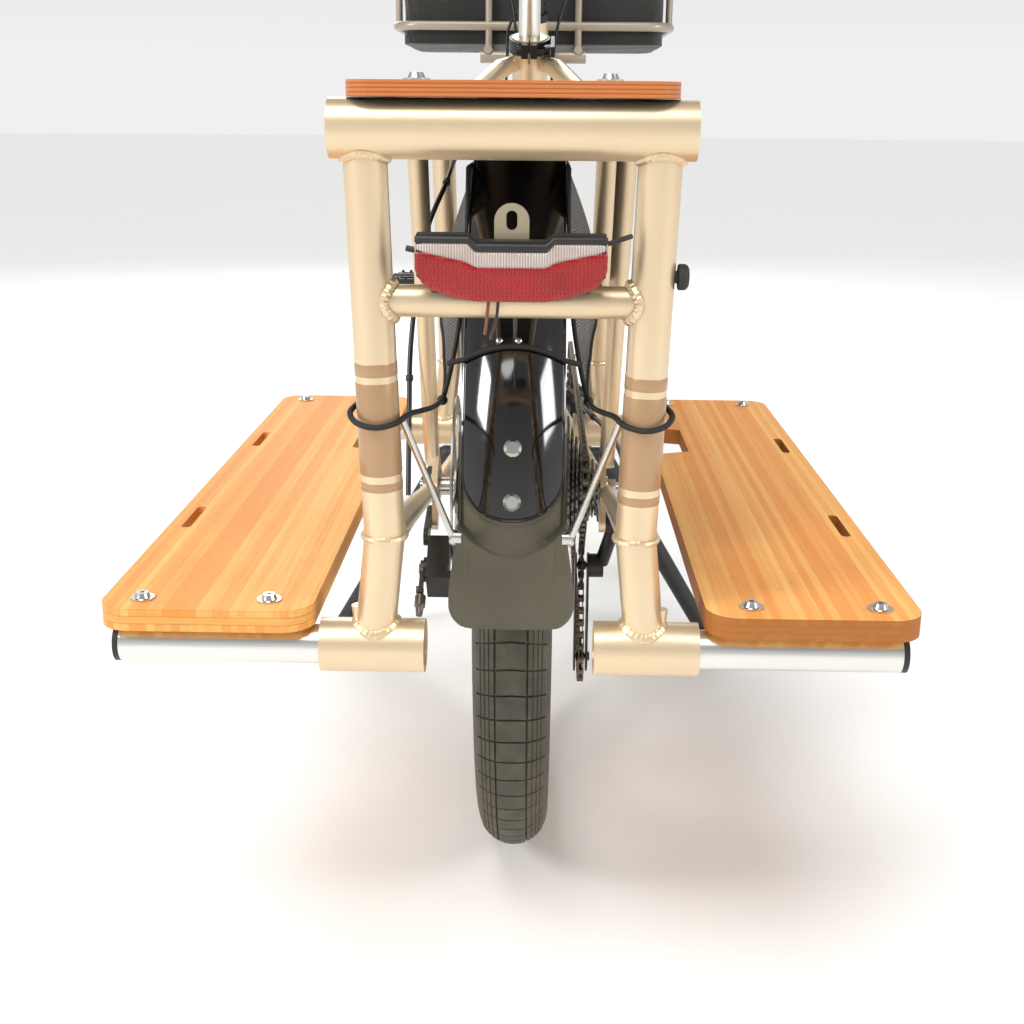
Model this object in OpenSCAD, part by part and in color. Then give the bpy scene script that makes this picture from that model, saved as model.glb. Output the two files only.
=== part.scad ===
// Longtail cargo bicycle with running boards, a cargo deck, a front basket and a double-leg stand.
// Millimetres, +Z up, +Y forward, +X to the rider's right. The ground is z = 0.

/* [Wheels] */
// Outer radius of the tyres
tyre_r = 344; // [335:1:350]
// Width of the tyres
tyre_w = 64; // [50:1:66]
// Distance between the wheel axles
wheelbase = 1296; // [1290:1:1300]
// Number of spokes in each wheel
spoke_count = 32; // [28:4:36]
// Radius of the rear brake disc
rear_disc_r = 90; // [80:1:90]
// Radius of the front brake disc
front_disc_r = 80; // [70:1:82]

/* [Cargo frame] */
// Height of the cargo deck's underside
deck_z = 708.5; // [708:0.5:712]
// Width of the cargo deck
deck_w = 206; // [190:2:210]
// Thickness of the cargo deck
deck_t = 10; // [8:1:12]
// Height of the running board tubes' centres
side_tube_z = 340; // [338:1:341]
// Outer diameter of the running board tubes
side_tube_d = 28; // [26:1:28]
// Reach of the running board tubes from the centre plane
side_tube_reach = 273; // [270:1:290]

/* [Running boards] */
// Width of each running board
board_w = 149; // [130:1:150]
// Length of each running board
board_len = 725; // [720:5:735]
// Thickness of each running board
board_t = 16; // [12:1:18]
// Distance from the centre plane to a board's inner edge
board_inner_x = 136; // [134:1:140]

/* [Drive] */
// Height of the bottom bracket
bb_z = 290; // [286:1:292]
// Crank arm length
crank_len = 170; // [160:1:170]
// Teeth on the chainring
ring_teeth = 40; // [36:1:42]
// Teeth on the sprocket that the chain runs on
drive_teeth = 18; // [18:1:18]

/* [Rider] */
// Overall width of the handlebar
bar_w = 640; // [600:10:660]
// Length of seatpost that stands out of the seat tube
post_out = 190; // [160:5:220]

/* [Basket] */
// Outer width of the front basket
basket_w = 490; // [440:10:500]
// Depth of the front basket from back to front
basket_d = 360; // [320:10:380]
// Height of the basket's top rail
basket_top_z = 985; // [940:5:990]

/* [Hidden] */
$fn = 48;

// Rear axle's place along Y, so that the whole bicycle is centred on the origin.
rear_axle_y = -596;
wheel_z = tyre_r;
front_axle_y = wheelbase;
front_disc_x = -38.1;
bead_r = tyre_r - tyre_w;

// Frame points, measured from the rear axle.
lean = 18.7;
up_axis = [0, -sin(lean), cos(lean)];
bb = [0, 695, bb_z];
seat_top = bb + 530 * up_axis;
head_bottom = [0, 1127, 704];
head_top = head_bottom + 150 * up_axis;
upright_top = [93, -416, 690];
upright_kink = [86, -406, 422];
upright_foot = [95, -404, side_tube_z];
rail_x = 93;
rail_z = 690;
front_post_y = 270;
rear_post_y = -404;
dropout_x = 79;
stay_top = [98, 0, rail_z];

board_bolt_x = [168, 257];
board_mid_y = -63.5;
board_corner = 22;
deck_bolt_x = 60;
deck_bolt_y = [-410, 240];

chain_x = 64;
cog_pitch = 12.7;
cog_step = 4.1;
cog_teeth = [34, 28, 24, 21, drive_teeth, 15, 13, 11];
drive_cog = 4;
guide_centre = [4, 262];
tension_centre = [-8, 168];
pulley_teeth = 11;

clamp_pin_x = 24;

bar_centre = [0, 1104, 1012];
bar_rise = 58;
bar_bend = 142;
bar_back = 30;
bar_sweep = 24;
shifter_start = 58;
shifter_len = 30;
grip_start = 60;
lever_start = 26;

basket_y = 1160;
basket_rail_z = 842;
basket_floor_z = 808;
light_y = -422.6;
stand_pivot = [0, 450, 262];
stand_foot_x = 250;

champagne = [0.86, 0.75, 0.60];
bright = [0.80, 0.80, 0.80];
satin_black = [0.06, 0.06, 0.06];
bamboo = [0.90, 0.62, 0.36];

function unit(v) = v / norm(v);
function mirror_x(p) = [-p.x, p.y, p.z];
function pitch_r(teeth) = cog_pitch / 2 / sin(180 / teeth);
function at(p, a, r) = [p.x + r * cos(a), p.y + r * sin(a)];
function wheel_arc(r, a) = [r * cos(a), wheel_z + r * sin(a)];

// A smooth curve through hand-placed points.
function blend4(a, b, c, d, t) = 0.5 * ((2 * b) + (c - a) * t + (2 * a - 5 * b + 4 * c - d) * t * t
    + (3 * b - a - 3 * c + d) * t * t * t);
function smooth(p, steps) = concat(
    [for (i = [0 : len(p) - 2]) for (k = [0 : steps - 1])
        blend4(p[max(i - 1, 0)], p[i], p[i + 1], p[min(i + 2, len(p) - 1)], k / steps)],
    [p[len(p) - 1]]);
function heading(p, i) = unit(p[min(i + 1, len(p) - 1)] - p[max(i - 1, 0)]);
function first_side(t) = unit(cross(t, abs(t.z) < 0.9 ? [0, 0, 1] : [1, 0, 0]));
function sides_of(p, i, last) = i == len(p) ? [] :
    let (t = heading(p, i), s = i == 0 ? first_side(t) : unit(last - t * (last * t)))
    concat([s], sides_of(p, i + 1, s));

module bike() {
    translate([0, rear_axle_y, 0]) children();
}

// Both sides of the centre plane.
module both() {
    children();
    mirror([1, 0, 0]) children();
}

module rod(a, b, d, d_end = 0) {
    v = b - a;
    translate(a) rotate([0, acos(v.z / norm(v)), atan2(v.y, v.x)])
        cylinder(h = norm(v), d1 = d, d2 = d_end > 0 ? d_end : d);
}

module knuckle(p, d) {
    translate(p) sphere(d = d + 0.6);
}

// A cylinder along X, centred on x.
module disc_x(x, y, z, d, h) {
    translate([x - h / 2, y, z]) rotate([0, 90, 0]) cylinder(h = h, d = d);
}

module swept(path, d, sides) {
    n = len(path);
    dirs = sides_of(path, 0, [0, 0, 0]);
    points = [for (i = [0 : n - 1]) let (u = cross(heading(path, i), dirs[i]))
        for (k = [0 : sides - 1])
            path[i] + d / 2 * (cos(360 * k / sides) * dirs[i] + sin(360 * k / sides) * u)];
    walls = [for (i = [0 : n - 2]) for (k = [0 : sides - 1])
        [i * sides + k, (i + 1) * sides + k, (i + 1) * sides + (k + 1) % sides, i * sides + (k + 1) % sides]];
    ends = [[for (k = [0 : sides - 1]) k], [for (k = [sides - 1 : -1 : 0]) (n - 1) * sides + k]];
    polyhedron(points, concat(walls, ends), convexity = 8);
}

// A plate in the YZ plane from x to x + t.
module plate_x(x, t) {
    translate([x, 0, 0]) rotate([90, 0, 90]) linear_extrude(height = t) children();
}

module toothed_disc(teeth, bore_d) {
    r = pitch_r(teeth);
    step = 360 / teeth;
    difference() {
        polygon([for (i = [0 : teeth - 1]) for (k = [[-0.34, -3.6], [-0.13, 2.4], [0.13, 2.4], [0.34, -3.6]])
            (r + k[1]) * [cos((i + k[0]) * step), sin((i + k[0]) * step)]]);
        circle(d = bore_d);
    }
}

module arc_band(r_in, r_out, a0, a1, steps) {
    polygon(concat(
        [for (i = [0 : steps]) wheel_arc(r_out, a0 + (a1 - a0) * i / steps)],
        [for (i = [steps : -1 : 0]) wheel_arc(r_in, a0 + (a1 - a0) * i / steps)]));
}

// ---------- Frame ----------

module main_frame() {
    color(champagne) bike() difference() {
        union() {
            rod(bb, seat_top, 44);
            rod(head_bottom, head_top, 50);
            rod(head_bottom + 112 * up_axis, bb + 430 * up_axis, 36);
            rod(head_bottom + 42 * up_axis, bb, 46);
            disc_x(0, bb.y, bb.z, 50, 92);
        }
        rod(bb + 130 * up_axis, bb + 540 * up_axis, 27.32);
        rod(head_bottom - 10 * up_axis, head_top + 10 * up_axis, 38);
        disc_x(0, bb.y, bb.z, 34, 100);
        // Compression slot behind the seatpost.
        translate(seat_top) rotate([lean, 0, 0]) translate([-1, -24, -28]) cube([2, 16, 40]);
    }
}

module rear_stays() {
    color(champagne) bike() difference() {
        both() union() {
            rod([34, 672, 299], [dropout_x + 3, 30, 336], 24, 20);
            rod([dropout_x + 7, 2, 366], stay_top, 15, 20);
            rod([dropout_x + 7, -22, 346], upright_kink, 15, 24);
            plate_x(dropout_x, 6) hull() {
                translate([0, wheel_z]) circle(r = 20, $fn = 32);
                translate([34, wheel_z - 6]) circle(r = 9, $fn = 32);
                translate([-26, wheel_z + 4]) circle(r = 9, $fn = 32);
                translate([2, wheel_z + 24]) circle(r = 9, $fn = 32);
            }
            // Derailleur hanger below the right dropout.
            plate_x(dropout_x, 6) hull() {
                translate([-6, wheel_z - 10]) circle(r = 9, $fn = 32);
                translate([-20, wheel_z - 30]) circle(r = 9, $fn = 32);
            }
            // Bridge that carries the stand.
            rod([-1, stand_pivot.y, 312], [52, stand_pivot.y, 312], 22);
        }
        both() disc_x(95.5, front_post_y, side_tube_z, 38, 73);
        disc_x(0, 0, wheel_z, 12.12, 240);
        disc_x(0, bb.y, bb.z, 51, 80);
    }
}

module rack_frame() {
    color(champagne) bike() difference() {
        union() {
            rod([-114, -418, rail_z], [114, -418, rail_z], 37);
            rod([-rail_x, 240, rail_z], [rail_x, 240, rail_z], 22);
            rod([-88, -412, 583], [88, -412, 583], 21);
            both() {
                rod([rail_x, -420, rail_z], [rail_x, 300, rail_z], 28);
                knuckle([rail_x, 300, rail_z], 28);
                rod([rail_x, 300, rail_z], [36, 500, 752], 24);
                knuckle([36, 500, 752], 24);
                rod([36, 500, 752], bb + 500 * up_axis + [14, 8, 0], 24, 18);
                rod(upright_top, upright_kink, 28);
                knuckle(upright_kink, 28);
                rod(upright_kink, upright_foot, 28);
                rod([rail_x, front_post_y, rail_z], [upright_kink.x, front_post_y, 422], 26);
                knuckle([upright_kink.x, front_post_y, 422], 26);
                rod([upright_kink.x, front_post_y, 422], [upright_foot.x, front_post_y, side_tube_z], 26);
                for (y = [rear_post_y, front_post_y]) disc_x(95.5, y, side_tube_z, 38, 73);
                // Cable boss beside each socket.
                rod([104, rear_post_y, side_tube_z + 15], [106, rear_post_y, side_tube_z + 30], 9);
            }
        }
        rod(bb + 130 * up_axis, bb + 540 * up_axis, 44);
        for (y = [rear_post_y, front_post_y]) disc_x(0, y, side_tube_z, side_tube_d + 0.1, 300);
    }
}

module deck_board() {
    color(bamboo) bike() difference() {
        translate([0, -86, deck_z + 0.3]) linear_extrude(height = deck_t)
            offset(r = 18, $fn = 32) square([deck_w - 36, 700 - 36], center = true);
        for (x = [-deck_bolt_x, deck_bolt_x], y = deck_bolt_y)
            translate([x, y, deck_z - 5]) cylinder(h = deck_t + 10, d = 6.4);
    }
}

module side_loader_tubes() {
    color(bright) bike() both() for (y = [rear_post_y, front_post_y]) difference() {
        disc_x((68 + side_tube_reach) / 2, y, side_tube_z, side_tube_d, side_tube_reach - 68);
        disc_x((60 + side_tube_reach) / 2, y, side_tube_z, side_tube_d - 4, side_tube_reach - 60 + 20);
        for (x = board_bolt_x) translate([x, y, side_tube_z]) cylinder(h = 30, d = 6.2);
    }
}

module tube_end_caps() {
    color(satin_black) bike() both() for (y = [rear_post_y, front_post_y]) {
        disc_x(side_tube_reach + 2.1, y, side_tube_z, side_tube_d, 4);
        disc_x(side_tube_reach - 5, y, side_tube_z, side_tube_d - 4.1, 12);
    }
}

// ---------- Running boards ----------

module board_outline() {
    difference() {
        translate([board_inner_x + board_w / 2, board_mid_y]) offset(r = board_corner, $fn = 32)
            square([board_w - 2 * board_corner, board_len - 2 * board_corner], center = true);
        // Notch in the inner edge.
        polygon([[board_inner_x - 5, 28], [board_inner_x + 35, 43],
            [board_inner_x + 35, 138], [board_inner_x - 5, 150]]);
    }
}

module running_board() {
    difference() {
        translate([0, 0, side_tube_z + side_tube_d / 2 + 2]) linear_extrude(height = board_t) board_outline();
        for (x = board_bolt_x, y = [rear_post_y, front_post_y])
            translate([x, y, side_tube_z]) cylinder(h = 60, d = 6.4);
        // Strap slots near the outer edge.
        for (y = [-207, 73]) {
            translate([270, y, side_tube_z + 30]) cube([8, 52, 60], center = true);
            for (e = [-26, 26]) translate([270, y + e, side_tube_z]) cylinder(h = 60, d = 8);
        }
    }
}

module running_board_left() {
    color(bamboo) bike() mirror([1, 0, 0]) running_board();
}

module running_board_right() {
    color(bamboo) bike() running_board();
}

// Button-head bolt on a washer, standing on z = 0 with its shank below.
module button_bolt(shank) {
    translate([0, 0, 0.1]) cylinder(h = 1.3, d = 17);
    translate([0, 0, 1.4]) cylinder(h = 3.4, d1 = 11.5, d2 = 8.5);
    translate([0, 0, -shank]) cylinder(h = shank + 1, d = 6);
}

module board_bolts() {
    gap_z = side_tube_z + side_tube_d / 2;
    color(bright) bike() {
        both() for (x = board_bolt_x, y = [rear_post_y, front_post_y]) translate([x, y, 0]) {
            translate([0, 0, gap_z + 2 + board_t]) button_bolt(board_t + 9);
            // Spacer between the tube and the board.
            translate([0, 0, gap_z + 0.1]) difference() {
                cylinder(h = 1.8, d = 14);
                translate([0, 0, -1]) cylinder(h = 4, d = 6.1);
            }
        }
        for (x = [-deck_bolt_x, deck_bolt_x], y = deck_bolt_y)
            translate([x, y, deck_z + deck_t + 0.3]) button_bolt(deck_t);
    }
}

// ---------- Rear light ----------

module tail_light_bracket() {
    color(bright) bike() difference() {
        union() {
            translate([-11, light_y - 2.5, 592]) cube([22, 2.5, 43]);
            translate([0, light_y, 635]) rotate([90, 0, 0]) cylinder(h = 2.5, d = 22);
        }
        // Oval slot above the light.
        for (z = [633, 638]) translate([0, light_y + 5, z]) rotate([90, 0, 0]) cylinder(h = 12, d = 7);
        translate([-3.5, light_y - 6, 633]) cube([7, 12, 5]);
    }
}

module tail_light_housing() {
    color(satin_black) bike() difference() {
        translate([0, light_y - 2.8, 0]) rotate([90, 0, 0]) linear_extrude(height = 14)
            polygon([[-59, 628], [-59, 602], [-49, 592], [-20, 588], [20, 588], [49, 592], [59, 602],
                [59, 628], [27, 628], [22, 624], [-22, 624], [-27, 628]]);
        // Hollow for the lamp behind the lens.
        translate([-44, light_y - 20, 596]) cube([88, 12, 18]);
    }
}

module tail_light_lens() {
    color([0.60, 0.08, 0.08]) bike()
        translate([0, light_y - 16.8, 0]) rotate([90, 0, 0]) linear_extrude(height = 4)
        polygon([[-60, 622.5], [-60, 603], [-50, 592.5], [-21, 587], [21, 587], [50, 592.5], [60, 603],
            [60, 622.5], [27, 622.5], [22, 618], [-22, 618], [-27, 622.5]]);
}

module light_wires() {
    routes = [
        [[-14, -432, 587.5], [-15, -432, 577], [-16, -428, 568], [-17, -418, 563], [-17, -404, 563]],
        [[-8, -432, 587.5], [-9, -433, 576], [-12, -430, 565], [-13, -418, 560], [-13, -404, 559]]
    ];
    color(satin_black) bike() for (r = routes) swept(smooth(r, 4), 2, 8);
}

// ---------- Fender, mudflap, skirts ----------

module fender_shell(y, a0, a1, width) {
    wall = 1.6;
    crown = 9;
    bow = 8;
    // The cross-section is a shallow arc: x is the radius, y is across the wheel.
    section = [for (i = [-bow : bow]) [359 - crown * pow(i / bow, 2), i / bow * width / 2]];
    inner = [for (i = [bow : -1 : -bow]) [359 - wall - crown * pow(i / bow, 2), i / bow * (width / 2 - 0.4)]];
    translate([0, y, wheel_z]) rotate([0, 90, 0]) rotate([0, 0, a0 + 90])
        rotate_extrude(angle = a1 - a0, $fn = 96) polygon(concat(section, inner));
}

module rear_fender() {
    color(satin_black) bike() fender_shell(0, 20, 167, 75);
}

module rear_mudflap() {
    color([0.25, 0.24, 0.21]) bike() intersection() {
        difference() {
            plate_x(-48, 96) arc_band(359.6, 362.4, 157, 184, 12);
            for (a = [160, 166.2]) translate([0, wheel_arc(361, a)[0], wheel_arc(361, a)[1]])
                rotate([a - 90, 0, 0]) cylinder(h = 20, d = 6, center = true);
        }
        translate([0, -200, 0]) rotate([90, 0, 0]) linear_extrude(height = 300)
            polygon([[-44, 500], [44, 500], [48, 380], [46, 352], [34, 341],
                [-34, 341], [-46, 352], [-48, 380]]);
    }
}

module fender_fixings() {
    color(bright) bike() {
        // Rivets through the flap and the fender.
        for (a = [160, 166.2])
            translate([0, wheel_arc(362.6, a)[0], wheel_arc(362.6, a)[1]]) rotate([a - 90, 0, 0])
                cylinder(h = 2.4, d1 = 13, d2 = 9);
        // Stay rods from the uprights to the fender's lower edge.
        both() rod([73.2, -399.7, 501], [42.8, -351, 403], 5);
        // Bolt that hangs the fender from the middle cross tube.
        rod([0, -401.4, 583], [0, -267, 589], 6);
    }
}

module skirt_sheet() {
    across = 12;
    down = 6;
    wall = 1.6;
    // The net stands out from the wheel halfway along and comes in to the fender at both ends.
    function out_x(u, v) = 40.6 + (1 - u * u) * (34 * sin(120 * v) + 2 * v) + 17 * u * u * pow(v, 3);
    function low_edge(u) = 0.62 + 0.38 * u * u;
    function spot(u, t, skin) = let (v = t * low_edge(u))
        [out_x(u, v) - skin, u * (190 + 60 * v), 658 - 174 * v];
    grid = [for (skin = [0, wall]) for (j = [0 : down]) for (i = [0 : across])
        spot(2 * i / across - 1, j / down, skin)];
    m = across + 1;
    half = (down + 1) * m;
    outer = [for (j = [0 : down - 1]) for (i = [0 : across - 1])
        [j * m + i, (j + 1) * m + i, (j + 1) * m + i + 1, j * m + i + 1]];
    inner = [for (j = [0 : down - 1]) for (i = [0 : across - 1])
        [half + j * m + i, half + j * m + i + 1, half + (j + 1) * m + i + 1, half + (j + 1) * m + i]];
    edges = concat(
        [for (i = [0 : across - 1]) [i, i + 1, half + i + 1, half + i]],
        [for (i = [0 : across - 1])
            [down * m + i, half + down * m + i, half + down * m + i + 1, down * m + i + 1]],
        [for (j = [0 : down - 1]) [j * m, half + j * m, half + (j + 1) * m, (j + 1) * m]],
        [for (j = [0 : down - 1])
            [j * m + across, (j + 1) * m + across, half + (j + 1) * m + across, half + j * m + across]]);
    polyhedron(grid, concat(outer, inner, edges), convexity = 6);
}

module wheel_skirts() {
    color([0.12, 0.12, 0.12]) bike() both() skirt_sheet();
}

module skirt_cords() {
    rear = [[57, -251.5, 484], [60, -300, 489], [64, -360, 499], [69, -404, 506], [75, -422, 504],
        [88, -428, 502], [101, -423, 504], [107, -410, 508], [104, -396, 511]];
    front = [[57, 251.5, 484], [60, 266, 489], [69, 284, 500], [84, 290, 503], [100, 285, 505],
        [105, 270, 506]];
    color(satin_black) bike() both() {
        swept(smooth(rear, 4), 4, 8);
        swept(smooth(front, 4), 4, 8);
    }
}

// ---------- Wheels ----------

module rim_profile() {
    // Box-section rim, as a half section: x is the radius, y is the width.
    polygon([[bead_r - 20, -7], [bead_r - 6, -17], [bead_r + 6, -17.5], [bead_r + 6, -14], [bead_r - 1, -13],
        [bead_r - 3, 0], [bead_r - 1, 13], [bead_r + 6, 14], [bead_r + 6, 17.5], [bead_r - 6, 17],
            [bead_r - 20, 7]]);
}

module wheel_turned(y) {
    translate([0, y, wheel_z]) rotate([0, 90, 0]) rotate_extrude($fn = 96) children();
}

module rim(y) {
    wheel_turned(y) rim_profile();
}

module tyre(y) {
    centre = tyre_r - tyre_w / 2 - 1;
    wheel_turned(y) difference() {
        union() {
            translate([centre, 0]) circle(d = tyre_w);
            translate([bead_r + 7, -11]) square([18, 22]);
            translate([centre, -18]) square([tyre_w / 2 + 1, 36]);
        }
        translate([centre, 0]) circle(d = tyre_w - 9);
        translate([bead_r + 5, -8]) square([20, 16]);
        translate([bead_r - 30, -40]) square([36.5, 80]);
    }
}

module spokes(y, flange_l, flange_r, flange_rad) {
    turn = 360 / spoke_count;
    for (i = [0 : spoke_count - 1]) {
        right = i % 2 == 0;
        lead = floor(i / 2) % 2 == 0 ? 1 : -1;
        x = (right ? flange_r : -flange_l) + lead * 3;
        hub_a = i * turn - lead * 62;
        rim_a = i * turn;
        rod([x, y + flange_rad * cos(hub_a), wheel_z + flange_rad * sin(hub_a)],
            [right ? 3 : -3, y + (bead_r - 21) * cos(rim_a), wheel_z + (bead_r - 21) * sin(rim_a)], 2.2);
    }
}

module hub(y, left, right, flange_l, flange_r, bore_d) {
    difference() {
        union() {
            disc_x((right - left) / 2, y, wheel_z, 34, right + left);
            disc_x((flange_r - flange_l) / 2, y, wheel_z, 40, flange_r + flange_l);
            disc_x(-flange_l, y, wheel_z, 62, 3);
            disc_x(flange_r, y, wheel_z, 62, 3);
        }
        disc_x(0, y, wheel_z, bore_d, 300);
    }
}

module disc_rotor(x, y, r) {
    translate([0, y, wheel_z]) plate_x(x - 0.9, 1.8) union() {
        difference() {
            circle(r = r);
            circle(r = r - 16);
            for (a = [0 : 15 : 345]) rotate(a) for (k = [0, 1])
                rotate(k * 7) translate([r - 5 - 5 * k, 0]) circle(d = 4.6);
        }
        difference() {
            union() {
                circle(r = 28);
                for (a = [0 : 60 : 300]) rotate(a) translate([20, -4]) square([r - 34, 8]);
            }
            circle(r = 17.1);
            for (a = [30 : 60 : 330]) rotate(a) translate([22.5, 0]) circle(d = 5);
        }
    }
}

module rear_axle() {
    color(bright) bike() {
        disc_x(0, 0, wheel_z, 12, 196);
        // Spacer between the hub and the left dropout.
        disc_x(-71.2, 0, wheel_z, 18, 15);
        both() {
            disc_x(dropout_x + 7.2, 0, wheel_z, 24, 2);
            translate([dropout_x + 8.3, 0, wheel_z]) rotate([0, 90, 0]) cylinder(h = 8, d = 19, $fn = 6);
        }
    }
}

module rear_hub() {
    color([0.15, 0.15, 0.16]) bike() hub(0, 63, 42, 36, 32, 12.12);
}

module rear_rim() {
    color(satin_black) bike() rim(0);
}

module rear_tyre() {
    color([0.20, 0.20, 0.18]) bike() tyre(0);
}

module rear_spokes() {
    color(bright) bike() spokes(0, 36, 32, 26);
}

module rear_disc() {
    color(bright) bike() disc_rotor(-62, 0, rear_disc_r);
}

// The disc runs in the slot; its open side faces the axle. The cable arm stands outside.
module caliper_body(x, outer, inner, outward, r) {
    translate([0, 0, wheel_z]) rotate([outward, 0, 0]) translate([0, r, 0]) {
        difference() {
            translate([x - outer, -24, -17]) cube([outer + inner, 48, 34]);
            translate([x - 2.6, -40, -40]) cube([5.2, 56, 80]);
        }
        disc_x(x - outer - 1.5, 4, 0, 24, 4);
        translate([x - outer - 7, -4, -4]) cube([4, 36, 8]);
    }
}

module rear_caliper() {
    color(satin_black) bike() {
        caliper_body(-62, 22.8, 9, 217, 96);
        // Adapter plate on the outside of the left dropout.
        plate_x(-90, 4.8) hull() {
            translate([-14, wheel_z - 24]) circle(r = 8, $fn = 32);
            translate([-58, wheel_z - 34]) circle(r = 9, $fn = 32);
        }
    }
}

module front_axle() {
    color(bright) bike() translate([0, front_axle_y, 0]) {
        disc_x(0, 0, wheel_z, 9, 148);
        disc_x(72, 0, wheel_z, 17, 10);
        disc_x(-72, 0, wheel_z, 17, 10);
    }
}

module front_hub() {
    color([0.15, 0.15, 0.16]) bike() hub(front_axle_y, 37, 49, 30, 35, 9.12);
}

module front_rim() {
    color(satin_black) bike() rim(front_axle_y);
}

module front_tyre() {
    color([0.20, 0.20, 0.18]) bike() tyre(front_axle_y);
}

module front_spokes() {
    color(bright) bike() spokes(front_axle_y, 30, 35, 26);
}

module front_disc() {
    color(bright) bike() disc_rotor(front_disc_x, front_axle_y, front_disc_r);
}

// ---------- Drive ----------

module cassette() {
    color([0.55, 0.55, 0.56]) bike() translate([0, 0, wheel_z]) difference() {
        union() {
            for (i = [0 : len(cog_teeth) - 1])
                plate_x(chain_x + (i - drive_cog) * cog_step - 0.9, 1.8) toothed_disc(cog_teeth[i], 20);
            disc_x(60.4, 0, 0, 34, 34.8);
        }
        disc_x(60, 0, 0, 12.12, 60);
    }
}

// Where a straight run leaves circle a and meets circle b. side is 1 for anticlockwise, -1 for clockwise.
function run_angle(a, ra, sa, b, rb, sb) =
    atan2(b.y - a.y, b.x - a.x) - acos((ra * sa - rb * sb) / norm(b - a));

ring_r = pitch_r(ring_teeth);
cog_r = pitch_r(drive_teeth);
pulley_r = pitch_r(pulley_teeth);
chain_wheels = [
    [[bb.y, bb.z], ring_r, 1], [[0, wheel_z], cog_r, 1],
    [guide_centre, pulley_r, -1], [tension_centre, pulley_r, 1]
];

// Points on the chain's loop, off by k from the pitch line, outwards.
function chain_loop(k) = [for (i = [0 : 3])
    let (w = chain_wheels[i], before = chain_wheels[(i + 3) % 4], after = chain_wheels[(i + 1) % 4],
        come = run_angle(before[0], before[1], before[2], w[0], w[1], w[2]) + (w[2] < 0 ? 180 : 0),
        leave = run_angle(w[0], w[1], w[2], after[0], after[1], after[2]) + (w[2] < 0 ? 180 : 0),
        swing = w[2] > 0 ? (((leave - come) % 360) + 360) % 360 : -((((come - leave) % 360) + 360) % 360),
        steps = ceil(abs(swing) / 12))
    for (s = [0 : steps]) at(w[0], come + swing * s / steps, w[1] + k * w[2])];

module chain() {
    color([0.35, 0.34, 0.32]) bike() for (x = [1.3, -3.1]) plate_x(chain_x + x, 1.8) difference() {
        polygon(chain_loop(4));
        polygon(chain_loop(-4));
    }
}

module cage_plate(x) {
    plate_x(x, 1.8) hull() {
        translate(guide_centre) circle(r = 13, $fn = 32);
        translate(tension_centre) circle(r = 15, $fn = 32);
    }
}

module derailleur() {
    color(satin_black) bike() {
        cage_plate(chain_x - 7);
        cage_plate(chain_x + 5.2);
        for (c = [guide_centre, tension_centre]) {
            disc_x(chain_x, c.x, c.y, 5, 14);
            disc_x(chain_x + 8.2, c.x, c.y, 9, 2.2);
        }
        // Knuckles, links and the hanger bolt.
        disc_x(chain_x + 14.2, guide_centre.x, guide_centre.y, 24, 14.4);
        rod([chain_x + 20, guide_centre.x, guide_centre.y + 4], [chain_x + 31, -20, 314], 14);
        disc_x(chain_x + 28, -20, 314, 18, 13.6);
    }
}

module pulley(centre) {
    difference() {
        translate([0, centre.x, centre.y]) plate_x(chain_x - 1, 2) toothed_disc(pulley_teeth, 9);
        disc_x(chain_x, centre.x, centre.y, 5.14, 30);
    }
    difference() {
        disc_x(chain_x, centre.x, centre.y, 9, 8.4);
        disc_x(chain_x, centre.x, centre.y, 5.14, 30);
    }
}

module guide_pulley() {
    color([0.12, 0.12, 0.12]) bike() pulley(guide_centre);
}

module tension_pulley() {
    color([0.12, 0.12, 0.12]) bike() pulley(tension_centre);
}

module bearing_cups() {
    color([0.2, 0.2, 0.2]) bike() {
        // Bottom bracket.
        both() difference() {
            union() {
                disc_x(48.2, bb.y, bb.z, 46, 4);
                disc_x(41, bb.y, bb.z, 33.9, 14);
            }
            disc_x(48, bb.y, bb.z, 24.12, 60);
        }
        // Headset.
        for (h = [-12, 150]) difference() {
            rod(head_bottom + (h + 0.1) * up_axis, head_bottom + (h + 11.9) * up_axis, 50);
            rod(head_bottom + (h - 5) * up_axis, head_bottom + (h + 20) * up_axis, 28.72);
        }
    }
}

module crank_arm(x) {
    disc_x(x, bb.y, bb.z, 38, 16);
    rod([x, bb.y, bb.z], [x + 8, bb.y, bb.z - crank_len], 26, 19);
    disc_x(x + 8, bb.y, bb.z - crank_len, 27, 13);
}

module crankset() {
    color([0.25, 0.25, 0.26]) bike() {
        disc_x(0, bb.y, bb.z, 24, 160);
        // Right arm down, left arm up.
        crank_arm(84);
        translate([0, 0, 2 * bb.z]) mirror([0, 0, 1]) mirror([1, 0, 0]) crank_arm(84);
        translate([0, bb.y, bb.z]) {
            plate_x(chain_x - 1, 2) difference() {
                toothed_disc(ring_teeth, 122);
                for (a = [36 : 72 : 324]) rotate(a) translate([68, 0]) circle(d = 7);
            }
            for (a = [18 : 72 : 306]) rotate([a, 0, 0]) translate([chain_x + 0.4, -8, 3]) cube([6.6, 16, 67]);
            disc_x(chain_x + 8, 0, 0, 44, 14);
        }
        disc_x(chain_x + 4.2, bb.y, bb.z, 26, 8);
        // Pedal spindles.
        disc_x(92 + 50, bb.y, bb.z - crank_len, 9, 114);
        disc_x(-92 - 50, bb.y, bb.z + crank_len, 9, 114);
    }
}

module pedal(x, z) {
    color(satin_black) bike() translate([x, bb.y, z]) difference() {
        union() {
            translate([-43, -44, -10]) cube([86, 88, 20]);
            disc_x(0, 0, 0, 26, 92);
            for (sx = [-36 : 12 : 36], sy = [-41, 41]) translate([sx, sy, -13]) cylinder(h = 26, d = 4);
        }
        for (sy = [-1, 1]) translate([-34, sy > 0 ? 15 : -36, -20]) cube([68, 21, 40]);
        disc_x(0, 0, 0, 9.12, 120);
    }
}

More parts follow.
